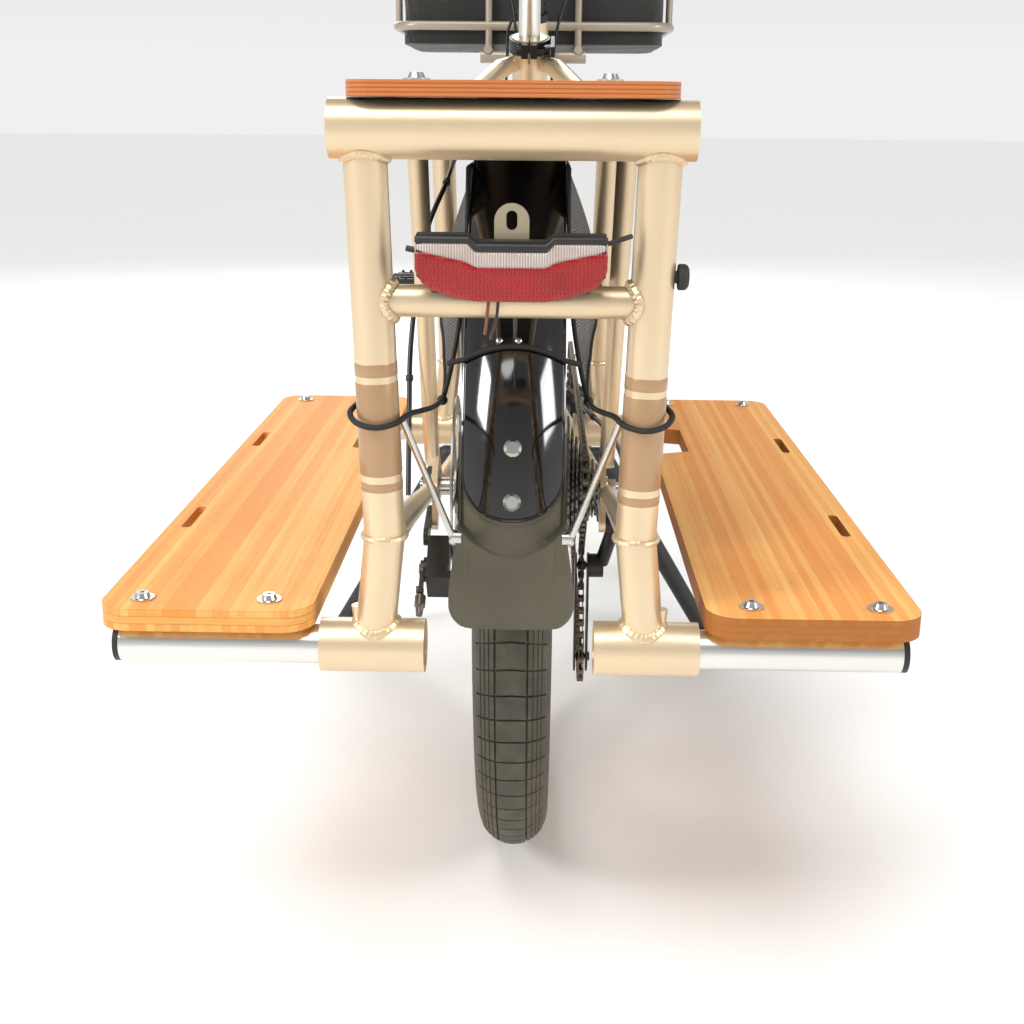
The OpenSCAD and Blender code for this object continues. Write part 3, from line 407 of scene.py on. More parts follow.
def mesh_material():
    """Black knitted net: round holes in staggered rows between shiny yarns."""
    s = Shade("skirt_net")
    x, y, z = s.axes()
    u = s.times(s.math("ADD", y, x), 2 * pi / NET_PITCH)
    v = s.times(z, 2 * pi / NET_PITCH)
    weave = s.times(s.math("SINE", s.math("ADD", u, v)), s.math("SINE", s.math("SUBTRACT", u, v)))
    hole = s.step(weave, 0.42, 0.16)
    yarn = s.noise(1500, 2)
    s.set(base_color=s.mix(yarn, rgb(14, 14, 13), rgb(40, 38, 34)), roughness=0.55,
          alpha=s.inverse(s.times(hole, 0.85)))
    s.set(sheen_weight=0.3)
    s.bump(weave, -0.0004)
    return s.material


def lens_material():
    """Red reflector plastic with cube-corner cells behind a glossy face; the cells' rims are
    painted brighter as glints.
    """
    s = Shade("reflector_lens")
    cells = s.cells(420, s.scaled((1, 0.02, 1)))
    cells.inputs["Randomness"].default_value = 0.10
    cell = cells.outputs["Distance"]
    glow = s.mix(s.noise(34, 4), rgb(88, 4, 8), rgb(150, 10, 14))
    # Painted highlight: the rims of the cells are coloured a brighter red as glints.
    painted_glints = s.times(s.step(cell, 0.55, 0.5), 0.55)
    s.set(base_color=s.mix(painted_glints, glow, rgb(206, 26, 26)), roughness=0.24)
    s.set(coat_weight=0.35, coat_roughness=0.06)
    s.bump(cell, 0.0003)
    return s.material


def clear_material():
    """Colourless light window: fine upright flutes over a grey and pink reflector."""
    s = Shade("clear_window")
    flute = s.math("SINE", s.times(s.axes()[0], 2 * pi / 0.0017))
    shade_of = s.mix(s.noise(60, 4), rgb(176, 158, 148), rgb(226, 214, 206))
    # Painted shade: the colour darkens in stripes along the flutes.
    s.set(base_color=s.mix(s.math("MULTIPLY_ADD", flute, 0.3, 0.3), shade_of, rgb(124, 104, 98)),
          roughness=s.math("MULTIPLY_ADD", s.noise(300, 2), 0.1, 0.12))
    s.set(coat_weight=0.5)
    s.bump(flute, 0.0002)
    return s.material


def saddle_material():
    """Fine-grained black cover."""
    s = Shade("saddle_cover")
    pores = s.cells(620).outputs["Distance"]
    broad = s.noise(30, 4)
    s.set(base_color=s.mix(broad, rgb(27, 26, 25), rgb(46, 44, 42)),
          roughness=s.math("MULTIPLY_ADD", broad, 0.15, 0.5))
    s.set(sheen_weight=0.08)
    s.bump(pores, 0.00014)
    return s.material


def two_tone(name, low, high, edge, axis, rough):
    """One moulding in two colours, split across one axis at edge."""
    s = Shade(name)
    fine = s.noise(800, 3)
    split = s.step(s.axes()[axis], edge, 0.0004)
    broad = s.noise(40, 4)
    colour = s.mix(s.times(broad, 0.3), s.mix(split, low, high), shade(low, 1.5))
    s.set(base_color=colour, roughness=s.math("MULTIPLY_ADD", fine, 0.12, rough))
    s.bump(fine, 0.00003)
    return s.material


def floor_material():
    s = Shade("pale_floor")
    s.set(base_color=s.mix(s.noise(1.3, 3), rgb(246, 246, 245), rgb(251, 251, 250)),
          roughness=s.math("MULTIPLY_ADD", s.noise(90, 4), 0.06, 0.62))
    s.bump(s.noise(260, 4), 0.00006)
    return s.material


BRUSH_X = (0.06, 1, 1)
PAINT = rgb(222, 200, 166)
looks = {
    "paint": surface("champagne_lacquer", PAINT, 0.36, metallic=0.72, coat=0.25, tone=0.07,
                     grain=1600, depth=0.000012, dust=0.14),
    "bead": surface("weld_bead_lacquer", shade(PAINT, 1.04), 0.36, metallic=0.72, coat=0.2,
                    tone=0.10, tone_scale=60, grain=1200, depth=0.00004),
    "tape": surface("brown_film", rgb(172, 138, 102), 0.34, metallic=0.35, coat=0.3, tone=0.05,
                    grain=900, depth=0.00001),
    # Both boards share one bamboo; the right board's upright faces get much more painted shade than
    # the left's.
    "bamboo_left": bamboo_material("bamboo_left", 0.12),
    "bamboo_right": bamboo_material("bamboo_right", 0.85),
    "ply": ply_material(),
    "alloy": surface("satin_aluminium", rgb(222, 222, 218), 0.26, metallic=1.0, tone=0.05,
                     grain=900, depth=0.00002, stretch=BRUSH_X),
    "steel": surface("bright_steel", rgb(205, 204, 200), 0.24, metallic=1.0, tone=0.07,
                     grain=500, depth=0.00001),
    "disc_steel": surface("disc_steel", rgb(188, 187, 184), 0.30, metallic=1.0, tone=0.10,
                          tone_scale=60, grain=900, depth=0.00002),
    "dark_steel": surface("cog_steel", rgb(118, 116, 112), 0.36, metallic=1.0, tone=0.18,
                          tone_scale=70, grain=600, depth=0.00003),
    "chain": surface("oiled_chain", rgb(118, 108, 94), 0.34, metallic=0.9, tone=0.30,
                     tone_scale=90, grain=700, depth=0.00002),
    "gloss": surface("gloss_black", rgb(9, 9, 10), 0.10, coat=0.9, tone=0.2, grain=60,
                     depth=0.00001, dust=0.05, spread=0.05),
    "black": surface("satin_black", rgb(26, 26, 27), 0.40, metallic=0.3, coat=0.15, tone=0.15,
                     tone_scale=30, grain=900, depth=0.00002, dust=0.08),
    "plastic": surface("moulded_black", rgb(25, 25, 25), 0.48, tone=0.15, tone_scale=30, grain=1300,
                       depth=0.00005, dust=0.10),
    "flap": surface("grey_rubber", rgb(90, 86, 71), 0.62, tone=0.12, tone_scale=35, grain=1100,
                    depth=0.00006, dust=0.14),
    "rubber": surface("black_rubber", rgb(29, 29, 28), 0.60, tone=0.15, grain=1000, depth=0.00006,
                      dust=0.10),
    "cable": surface("cable_casing", rgb(17, 17, 17), 0.34, tone=0.15, grain=900, depth=0.00001),
    "braid": surface("braided_elastic", rgb(24, 23, 22), 0.66, tone=0.25, tone_scale=300,
                     grain=1500, depth=0.0002),
    "taupe": surface("taupe_tube", rgb(168, 156, 140), 0.36, metallic=0.35, coat=0.25, tone=0.07,
                     grain=1300, depth=0.00002, dust=0.12),
    "net": mesh_material(),
    "lens": lens_material(),
    "clear": clear_material(),
    "tyre": tyre_material(),
    "saddle": saddle_material(),
    "stand": two_tone("stand_and_feet", rgb(22, 22, 22), rgb(44, 44, 45), 0.019, 2, 0.42),
    "wires": two_tone("light_wires", rgb(128, 70, 40), rgb(16, 16, 16), -0.0135, 0, 0.34),
    "tab": surface("zinc_tab", rgb(176, 164, 140), 0.42, metallic=0.85, tone=0.10, tone_scale=60,
                   grain=900, depth=0.00003),
    "floor": floor_material(),
}

NODE_LOOKS = {
    "paint": "main_frame rear_stays rack_frame fork",
    "bamboo_left": "running_board_left",
    "bamboo_right": "running_board_right",
    "ply": "deck_board",
    "alloy": "side_loader_tubes seatpost",
    "steel": "board_bolts fender_fixings rear_axle front_axle "
             "rear_spokes front_spokes",
    "disc_steel": "rear_disc front_disc",
    "dark_steel": "cassette",
    "black": "rear_hub front_hub rear_rim front_rim rear_caliper front_caliper derailleur "
             "bearing_cups crankset seat_clamp seat_clamp_lever stem handlebar lever_brackets "
             "brake_lever_left brake_lever_right kickstand_bracket",
    "plastic": "tube_end_caps tail_light_housing guide_pulley tension_pulley "
               "pedal_left pedal_right",
    "gloss": "front_fender",
    "rubber": "twist_shifter",
    "taupe": "basket",
    "tab": "tail_light_bracket",
    "wires": "light_wires",
    "stand": "kickstand",
}


def dress_nodes():
    for look, names in NODE_LOOKS.items():
        for name in names.split():
            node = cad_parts[name]
            node.data.materials.clear()
            node.data.materials.append(looks[look])
    for name, width in (("running_board_left", 0.0016), ("running_board_right", 0.0016),
                        ("deck_board", 0.0012), ("tail_light_housing", 0.0012),
                        ("tail_light_bracket", 0.0005), ("kickstand_bracket", 0.0008),
                        ("board_bolts", 0.0007)):
        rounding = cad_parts[name].modifiers.new("rounded_edges", "BEVEL")
        rounding.width = width
        rounding.segments = 3
        rounding.limit_method = "ANGLE"
        rounding.angle_limit = radians(40)


# ---------------------------------------------------------------- mesh building

def side_axes(direction):
    """Two unit vectors square to a direction and to each other."""
    d = Vector(direction).normalized()
    u = d.cross(Vector((1, 0, 0)) if abs(d.x) < 0.9 else Vector((0, 1, 0))).normalized()
    return u, d.cross(u)


class Shape:
    """Collects faces and makes them one piece that rides on a body."""

    def __init__(self):
        self.points, self.faces = [], []

    def add(self, points, faces):
        start = len(self.points)
        self.points += [Vector(p) for p in points]
        self.faces += [[start + i for i in face] for face in faces]
        return self

    def grid(self, rows, closed_rows=False, closed_columns=False):
        """Quads between equal rows of points."""
        count, width = len(rows), len(rows[0])
        faces = []
        for i in range(count if closed_rows else count - 1):
            for j in range(width if closed_columns else width - 1):
                a, b = i * width, (i + 1) % count * width
                k = (j + 1) % width
                faces.append([a + j, a + k, b + k, b + j])
        return self.add([p for row in rows for p in row], faces)

    def loft(self, rings):
        """A skin over closed rings of points, with a face on the first and on the last."""
        start, sides = len(self.points), len(rings[0])
        last = start + (len(rings) - 1) * sides
        self.grid(rings, closed_columns=True)
        self.faces.append([start + k for k in reversed(range(sides))])
        self.faces.append([last + k for k in range(sides)])
        return self

    def tube(self, path, radius, sides=12, closed=False):
        """A round tube along a path. radius is a number or a function of the share of the way."""
        path = [Vector(p) for p in path]
        n = len(path)
        u = None
        rings = []
        for i, p in enumerate(path):
            before = path[(i - 1) % n] if closed else path[max(i - 1, 0)]
            after = path[(i + 1) % n] if closed else path[min(i + 1, n - 1)]
            t = (after - before).normalized()
            u = side_axes(t)[0] if u is None else (u - t * u.dot(t)).normalized()
            r = radius(i / (n - 1)) if callable(radius) else radius
            rings.append(circle(p, u, t.cross(u), r, sides))
        return self.grid(rings, True, True) if closed else self.loft(rings)

    def turned(self, base, direction, profile, steps=32):
        """A closed turning round an axis from base; the profile is (radius, distance along)."""
        d = Vector(direction).normalized()
        u, v = side_axes(d)
        return self.loft([circle(base + d * along, u, v, radius, steps)
                          for radius, along in profile])

    def slab(self, outline, origin, u, v, thickness):
        """A flat plate with that outline, given along u and v, and thick along u x v."""
        lift = u.cross(v).normalized() * thickness
        n = len(outline)
        low = [origin + u * a + v * b for a, b in outline]
        faces = [[i, (i + 1) % n, n + (i + 1) % n, n + i] for i in range(n)]
        faces += [list(reversed(range(n))), list(range(n, 2 * n))]
        return self.add(low + [p + lift for p in low], faces)

    def shell(self, rows, thickness):
        """A sheet through rows of points, given thickness towards its back."""
        count, width = len(rows), len(rows[0])
        back = []
        for i, row in enumerate(rows):
            for j, p in enumerate(row):
                along = rows[min(i + 1, count - 1)][j] - rows[max(i - 1, 0)][j]
                across = row[min(j + 1, width - 1)] - row[max(j - 1, 0)]
                back.append(p - along.cross(across).normalized() * thickness)
        half = count * width
        faces = []
        for i in range(count - 1):
            for j in range(width - 1):
                a = i * width + j
                faces.append([a, a + 1, a + width + 1, a + width])
                faces.append([half + a, half + a + width, half + a + width + 1, half + a + 1])
        rim = (list(range(width)) + [i * width + width - 1 for i in range(1, count)]
               + [(count - 1) * width + j for j in range(width - 2, -1, -1)]
               + [i * width for i in range(count - 2, 0, -1)])
        for k, a in enumerate(rim):
            b = rim[(k + 1) % len(rim)]
            faces.append([b, a, half + a, half + b])
        return self.add([p for row in rows for p in row] + back, faces)

    def make(self, name, look, body, slot, replaces=(), sharp=38, levels=0):
        mesh = bpy.data.meshes.new(name)
        mesh.from_pydata(self.points, [], self.faces)
        solid = bmesh.new()
        solid.from_mesh(mesh)
        bmesh.ops.remove_doubles(solid, verts=solid.verts, dist=1e-7)
        bmesh.ops.recalc_face_normals(solid, faces=solid.faces)
        solid.to_mesh(mesh)
        solid.free()
        mesh.shade_smooth()
        mesh.set_sharp_from_angle(angle=radians(sharp))
        mesh.materials.append(looks[look])
        obj = bpy.data.objects.new(name, mesh)
        bpy.context.scene.collection.objects.link(obj)
        if levels:
            finer = obj.modifiers.new("finer", "SUBSURF")
            finer.levels = finer.render_levels = levels
        if body:
            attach(obj, body)
        if replaces:
            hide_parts(*replaces)
        return obj


# ---------------------------------------------------------------- weld beads

def meeting_line(start, end, radius, main_a, main_b, main_radius, count=110):
    """Where a round tube from start towards end first meets a round tube from main_a to main_b."""
    d = (end - start).normalized()
    u, v = side_axes(d)
    m = (main_b - main_a).normalized()
    loop = []
    for o in circle(start, u, v, radius, count):
        slant = d - m * d.dot(m)
        reach = (o - main_a) - m * (o - main_a).dot(m)
        a, b, c = slant.dot(slant), 2 * slant.dot(reach), reach.dot(reach) - main_radius ** 2
        loop.append(o + d * (-b - math.sqrt(max(0.0, b * b - 4 * a * c))) / (2 * a))
    return loop


def ring_line(centre, normal, radius, count=90):
    return circle(centre, *side_axes(normal), radius, count)


def bead(shape, loop, size):
    """A weld bead of overlapping ripples along a closed line given in millimetres."""
    around = sum((loop[i] - loop[i - 1]).length for i in range(len(loop)))
    ripples = max(8, round(around / 3.4))
    n = len(loop)

    def thick(share):
        return size / 1000 * (0.88 + 0.14 * abs(sin(pi * ripples * share * (n - 1) / n)))

    shape.tube([at(*p) for p in loop], thick, sides=8, closed=True)


def level_tube(y, z):
    """Both ends of a tube that lies across the bicycle."""
    return Vector((-200, y, z)), Vector((200, y, z))


def halfway(a, b):
    return (a + b) / 2


def make_weld_beads():
    """Beads where the tubes meet, and rings at the bends of the uprights."""
    rail = (Vector((RAIL_X, -400, RAIL_Z)), Vector((RAIL_X, 300, RAIL_Z)))
    front_top = Vector((RAIL_X, FRONT_POST_Y, RAIL_Z))
    front_kink = Vector((UPRIGHT_KINK.x, FRONT_POST_Y, 422))
    front_foot = Vector((UPRIGHT_FOOT.x, FRONT_POST_Y, SIDE_TUBE_Z))
    top_bar, rear_socket = level_tube(-418, RAIL_Z), level_tube(REAR_POST_Y, SIDE_TUBE_Z)
    upright, bracket = (UPRIGHT_TOP, UPRIGHT_KINK), level_tube(BB.y, BB.z)
    joins = [
        (halfway(*upright), UPRIGHT_TOP, UPRIGHT_R, *top_bar, TOP_BAR_R, 3.0),
        (Vector((RAIL_X, -300, RAIL_Z)), Vector((RAIL_X, -420, RAIL_Z)), 14,
         *top_bar, TOP_BAR_R, 2.6),
        (Vector((40, -412, 583)), Vector((88, -412, 583)), 11.4, *upright, UPRIGHT_R, 3.8),
        (UPRIGHT_KINK, UPRIGHT_FOOT, UPRIGHT_R, *rear_socket, SOCKET_R, 3.4),
        (halfway(front_top, front_kink), front_top, 13, *rail, 14, 2.4),
        (front_kink, front_foot, 13, *level_tube(FRONT_POST_Y, SIDE_TUBE_Z), SOCKET_R, 3.0),
        (Vector((0, 240, RAIL_Z)), Vector((RAIL_X, 240, RAIL_Z)), 11, *rail, 14, 2.4),
        (Vector((86, 2, 366)), Vector((98, 0, RAIL_Z)), 9.6, *rail, 14, 2.2),
        (Vector((86, -22, 346)), UPRIGHT_KINK, 11.8, *upright, UPRIGHT_R, 2.4),
        (Vector((36, 500, 752)), BB + 500 * UP_AXIS + Vector((14, 8, 0)), 9.4,
         BB, SEAT_TOP, SEAT_TUBE_R, 2.2),
        (Vector((82, 30, 336)), Vector((34, 672, 299)), 12, *bracket, 25, 2.4),
    ]
    beads = Shape()
    for *join, size in joins:
        loop = meeting_line(*join)
        bead(beads, loop, size)
        bead(beads, [flipped(p) for p in loop], size)
    for kink, normal, radius in ((UPRIGHT_KINK, UPRIGHT_TOP - UPRIGHT_FOOT, 14.1),
                                 (front_kink, front_top - front_foot, 13.1)):
        loop = ring_line(kink, normal, radius)
        bead(beads, loop, 2.6)
        bead(beads, [flipped(p) for p in loop], 2.6)
    beads.make("rack_weld_beads", "bead", "frame", "champagne_frame")

    beads = Shape()
    head = (HEAD_BOTTOM, HEAD_TOP)
    top_tube = (BB + 430 * UP_AXIS, HEAD_BOTTOM + 112 * UP_AXIS)
    for join in (
        (halfway(BB, HEAD_BOTTOM), HEAD_BOTTOM + 42 * UP_AXIS, DOWN_TUBE_R, *head, HEAD_TUBE_R),
        (halfway(BB, HEAD_BOTTOM), BB, DOWN_TUBE_R, *bracket, 25),
        (top_tube[0] + Vector((0, 250, 30)), top_tube[1], 18, *head, HEAD_TUBE_R),
        (*reversed(top_tube), 18, BB, SEAT_TOP, SEAT_TUBE_R),
        (SEAT_TOP, BB, SEAT_TUBE_R, *bracket, 25),
    ):
        bead(beads, meeting_line(*join), 2.6)
    beads.make("main_weld_beads", "bead", "frame", "champagne_frame")


# ---------------------------------------------------------------- rack details

def upright_at(z):
    """The right upright's centre at height z."""
    share = (UPRIGHT_TOP.z - z) / (UPRIGHT_TOP.z - UPRIGHT_KINK.z)
    return UPRIGHT_TOP.lerp(UPRIGHT_KINK, share)


def make_rack_details():
    """Brown film round the uprights, a small knob, and flat black hexagons on the bolts' heads as
    painted shade of their sockets.
    """
    bands = Shape()
    for side, drop in ((-1, 0), (1, 7.5)):
        for low, high in ((534.5, 543), (467, 530), (456, 462)):
            a, b = upright_at(low - drop), upright_at(high - drop)
            if side < 0:
                a, b = flipped(a), flipped(b)
            a, b = at(*a), at(*b)
            tall = (b - a).length
            bands.turned(a, b - a, [(0.0141, 0), (0.01425, 0.0003), (0.01425, tall - 0.0003),
                                    (0.0141, tall)], steps=48)
    bands.make("upright_film_bands", "tape", "frame", "champagne_frame")

    knob = Shape()
    knob.turned(at(103.6, -413, 600), (1, 0, 0), [
        (0.004, 0), (0.004, 0.0022), (0.0076, 0.0026), (0.0084, 0.0034), (0.0084, 0.0066),
        (0.0078, 0.0084), (0.0060, 0.0096), (0.0030, 0.0100)])
    knob.make("upright_knob", "rubber", "frame", "black_plastic")

    heads = [(x * side, y, 376.75) for side in (-1, 1) for x in BOARD_BOLT_X
             for y in (REAR_POST_Y, FRONT_POST_Y)]
    heads += [(x, y, 723.55) for x in DECK_BOLT_X for y in DECK_BOLT_Y]
    # Painted shade: a thin black hexagon on each bolt head stands for the dark inside of its
    # socket.
    socket_shade = Shape()
    for head in heads:
        socket_shade.turned(at(*head), (0, 0, 1), [(0.0019, 0), (0.0019, 0.0001)], steps=6)
    socket_shade.make("bolt_socket_shade", "plastic", "frame", "black_plastic")


# ---------------------------------------------------------------- fender, flap, skirts

def round_wheel(x, radius, angle, y=0.0):
    """A point off the wheel's centre plane, at a radius and an angle above forward."""
    return at(x, y + radius * cos(radians(angle)), WHEEL_Z + radius * sin(radians(angle)))


def fender_radius(u):
    """Radius of the fender's outside at a share u of its half width."""
    return 359.6 - 15 * abs(u) ** 2.05


def fender_end(u):
    """The angle at which the fender's rounded tail ends."""
    return 168.3 - 5.6 * (1 - math.sqrt(max(0.0, 1 - abs(u) ** 2.4)))


def make_fender():
    """A gloss shell with a rounded tail and rolled edges, and the elastic band that crosses it."""
    first, across = 20.0, 20
    rows = []
    shares = [i / 100 * 0.94 for i in range(100)] + [0.94 + 0.06 * k / 16 for k in range(17)]
    for share in shares:
        row = []
        for j in range(-across, across + 1):
            u = sin(pi / 2 * j / across)
            row.append(round_wheel(u * FENDER_HALF, fender_radius(u),
                                   first + (fender_end(u) - first) * share))
        rows.append(row)
    shell = Shape().shell(rows, 0.0016)
    edge = ([row[0] for row in rows] + rows[-1][1:] + [row[-1] for row in rows[-2::-1]])
    shell.tube(edge, 0.0011, sides=8)
    shell.make("fender_shell", "gloss", "frame", "gloss_black", replaces=("rear_fender",))

    band = [round_wheel(u * 37.6, fender_radius(u) + 2.0, 147.9 + 0.8 * u * u)
            for u in [k / 16 for k in range(-16, 17)]]
    band.insert(0, band[0] + Vector((-0.012, 0.006, -0.004)))
    band.append(band[-1] + Vector((0.012, 0.006, -0.004)))
    Shape().tube(band, 0.0021, sides=10).make("fender_band", "braid", "frame", "elastic_cord")

    clips = Shape()
    for side in (-1, 1):
        clips.turned(at(side * 36.0, -350, 403), (side, 0, 0), [
            (0.0030, 0), (0.0056, 0.0006), (0.0056, 0.0080), (0.0042, 0.0094)], 20)
        outward = round_wheel(0, 366, 147.2) - round_wheel(0, 361, 147.2)
        clips.turned(round_wheel(side * 7 - 4, 361.0, 147.2), outward, [
            (0.0016, 0), (0.0023, 0.0003), (0.0023, 0.0012), (0.0014, 0.0018)], 16)
    clips.make("fender_clips", "steel", "frame", "bright_steel")


def smooth_step(value):
    value = min(1.0, max(0.0, value))
    return value * value * (3 - 2 * value)


def flap_half_width(a):
    """Half the mudflap's width at an angle on the wheel, with rounded lower corners."""
    half = 39.6 - 0.9 * smooth_step((a - 158) / 8) + 7.3 * smooth_step((a - 167.5) / 10.5)
    if a > 178.4:
        half -= 16 * (1 - math.sqrt(max(0.0, 1 - ((a - 178.4) / 2.9) ** 2)))
    return half


def flap_height(x, a, half):
    """Radius of the flap's outside: under the fender, a hollow collar, then a flatter panel."""
    share = min(1.0, abs(x) / 37.3)
    under = fender_radius(share) - 2.3
    panel = 360.8 - 3.0 * (abs(x) / 46) ** 2
    collar_end = 172.3 - 3.4 * (x / 38) ** 2
    height = under + (panel - under) * smooth_step((a - collar_end) / 0.55)
    lip = math.exp(-((a - fender_end(share) - 0.42) / 0.30) ** 2) if abs(x) < 37.3 else 0.0
    edge = smooth_step((abs(x) - 37.6) / 0.6) * (1 - smooth_step((a - collar_end) / 0.55))
    height += 3.0 * max(lip, edge)
    turn = min(1.0, max(0.0, (a - 170.2) / 10.2))
    rib_x = 31.0 * math.sqrt(max(0.0, 1 - turn ** 2.8))
    if a > 170.2:
        height += 0.8 * math.exp(-((abs(x) - rib_x) / 0.9) ** 2)
    border = math.exp(-((half - abs(x)) / 1.6) ** 2) + math.exp(-((181.3 - a) * 6.28 / 1.8) ** 2)
    return height + 0.9 * min(1.0, border) * smooth_step((a - 170) / 3)


def make_flap():
    """A rubber flap fixed under the fender's tail, with a lip that follows the tail's edge."""
    rows = []
    down, across = 130, 72
    for i in range(down + 1):
        a = 157.8 + 23.5 * i / down
        half = flap_half_width(a)
        row = []
        for j in range(across + 1):
            x = half * sin(pi / 2 * (2 * j / across - 1))
            row.append(round_wheel(x, flap_height(x, a, half), a))
        rows.append(row)
    Shape().shell(rows, 0.0022).make("mudflap_moulding", "flap", "frame", "warm_grey_rubber",
                                     replaces=("rear_mudflap",), sharp=50)


def skirt_point(u, v):
    """The right skirt: u runs from -1 at the back to 1 at the front, v from top to bottom."""
    out = 40.6 + (1 - u * u) * (34 * sin(radians(120 * v)) + 2 * v) + 17 * u * u * v ** 3
    return Vector((out, u * (190 + 60 * v), 658 - 174 * v))


def outline(rows):
    """The points round the margin of a sheet of rows."""
    return (rows[0] + [row[-1] for row in rows[1:]] + rows[-1][-2::-1]
            + [row[0] for row in rows[-2:0:-1]])


def make_skirts():
    """A net on each side of the rear wheel, with a bound edge."""
    across, down = 60, 24
    sheets, bindings = [], Shape()
    for side, label in ((-1, "left"), (1, "right")):
        rows = []
        for j in range(down + 1):
            row = []
            for i in range(across + 1):
                u = 2 * i / across - 1
                v = j / down * (0.62 + 0.38 * u * u)
                p = skirt_point(u, v)
                pull = 1.5 * sin(pi * 5 * u) * (j / down) ** 2
                row.append(at(side * (p.x - 0.8 - abs(pull) * 0.4), p.y, p.z + 0.5 * pull))
            rows.append(row if side > 0 else row[::-1])
        sheets.append(Shape().shell(rows, 0.0007).make(
            "skirt_net_" + label, "net", "frame", "skirt_mesh", replaces=("wheel_skirts",)))
        bindings.tube(outline(rows), 0.0019, sides=8, closed=True)
    bindings.make("skirt_bindings", "braid", "frame", "skirt_mesh")
    for sheet in sheets:
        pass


def make_skirt_cords():
    """Elastic cords from the skirts' tips round the uprights, with a knot at each tip."""
    rear = [(57, -251.5, 484), (60, -300, 489), (64, -360, 499), (69, -404, 506), (75, -422, 504),
            (88, -428, 502), (101, -423, 504), (107, -410, 508), (104, -396, 511)]
    front = [(57, 251.5, 484), (60, 266, 489), (69, 284, 500), (84, 290, 503), (100, 285, 505),
             (105, 270, 506)]
    cords = Shape()
    for side in (-1, 1):
        for route in (rear, front):
            line = [at(side * p.x, p.y, p.z) for p in smooth_route(route, 8)]
            cords.tube(line, 0.002, sides=12)
            knot = line[0]
            cords.turned(knot - Vector((0, 0.004, 0)), (0, 1, 0), [
                (0.0020, 0), (0.0036, 0.0012), (0.0042, 0.004), (0.0036, 0.0068),
                (0.0020, 0.008)], 16)
    cords.make("elastic_cords", "braid", "frame", "elastic_cord", replaces=("skirt_cords",))


# ---------------------------------------------------------------- tail light

LIGHT_FACE = -442.8


def light_face(x):
    """The lens is bowed: its ends lie a little further forward than its middle."""
    return LIGHT_FACE + 3.2 * (x / 60) ** 2


def between(x, corners):
    """The height of a line through the corners, at a distance x from the middle."""
    x = abs(x)
    for (x0, z0), (x1, z1) in zip(corners, corners[1:]):
        if x <= x1:
            return z0 + (z1 - z0) * (x - x0) / max(1e-6, x1 - x0)
    return corners[-1][1]


RED_TOP = ((0, 607.6), (21, 607.6), (28.5, 611.2), (60, 617.6))
RED_LOW = ((0, 586.8), (21, 586.8), (36, 589.0), (50, 593.4), (56, 598), (60, 605.5))
CLEAR_TOP = ((0, 617.4), (22, 617.4), (27, 622.4), (60, 622.4))
BLACK_TOP = ((0, 622.4), (21.5, 622.4), (26.5, 626.6), (60, 626.6))


def lens_panel(name, look, slot, low, high, thick, ripple=0.0, replaces=(), proud=0.0):
    """A curved panel of the tail light between two lines, with rounded margins."""
    rows = []
    ends = 60.0
    for i in range(-150, 151):
        x = ends * i / 150
        a, b = between(x, low), between(x, high)
        row = []
        for j in range(13):
            t = j / 12
            margin = min(t, 1 - t) * (b - a)
            sink = (0.9 * math.exp(-(margin / 0.9) ** 2)
                    + 1.2 * math.exp(-((ends - abs(x)) / 1.1) ** 2))
            y = light_face(x) - proud + sink - ripple * sin(2 * pi * x / 1.9)
            row.append(at(x, y, a + (b - a) * t))
        rows.append(row)
    return Shape().shell(rows, thick).make(name, look, "frame", slot, replaces=replaces)


def make_light_details():
    """The tail light's red lens with cube-corner prisms, its clear window and its black top."""
    lens_panel("lens_red", "lens", "red_lens", RED_LOW, RED_TOP, 0.0034,
               replaces=("tail_light_lens",), proud=0.2)
    lens_panel("lens_clear", "clear", "red_lens", RED_TOP, CLEAR_TOP, 0.0034, ripple=0.14)
    lens_panel("light_top", "plastic", "black_plastic", CLEAR_TOP, BLACK_TOP, 0.0050, proud=0.6)
    prisms = Shape()
    pitch = 2.7
    for row in range(11):
        for k in range(-22, 23):
            x, z = (k + 0.5 * (row % 2)) * pitch, 588.9 + row * pitch * 0.87
            if not (abs(x) < 57.8 and between(x, RED_LOW) + 1.5 < z < between(x, RED_TOP) - 1.5):
                continue
            reach = pitch * 0.5
            face = light_face(x) - 0.1
            corners = [radians(60 * n + 30) for n in range(6)]
            base = [at(x + reach * cos(a), face, z + reach * sin(a)) for a in corners]
            prisms.add(base + [at(x, face - 0.42, z)],
                       [[n, (n + 1) % 6, 6] for n in range(6)] + [[5, 4, 3, 2, 1, 0]])
    prisms.make("reflector_prisms", "lens", "frame", "red_lens", sharp=10)
    clips = Shape()
    for radius, *route in (
        (0.0019, (-58, -434, 617.5), (-62, -434, 617.8), (-65.5, -433, 618.4)),
        (0.0016, (58, -434, 622), (64, -434, 623.5), (70, -432, 625.4), (75, -429, 626.8)),
    ):
        clips.tube([at(*p) for p in route], radius, sides=10)
    clips.make("light_side_clips", "plastic", "frame", "black_plastic")


# ---------------------------------------------------------------- wheels

def tread_depth(s, share):
    """How deep the tread is cut, in millimetres, at a distance s from the crown."""
    s = abs(s)
    if s > 34.6:
        return 0.0
    depth = 2.0 if 12.5 < s < 13.9 else 0.0
    for line in (18.4, 23.0, 27.6):
        if abs(s - line) < 0.6:
            depth = max(depth, 0.9)
    if 0.03 < share < 0.11:
        depth = max(depth, 1.7)
    return depth


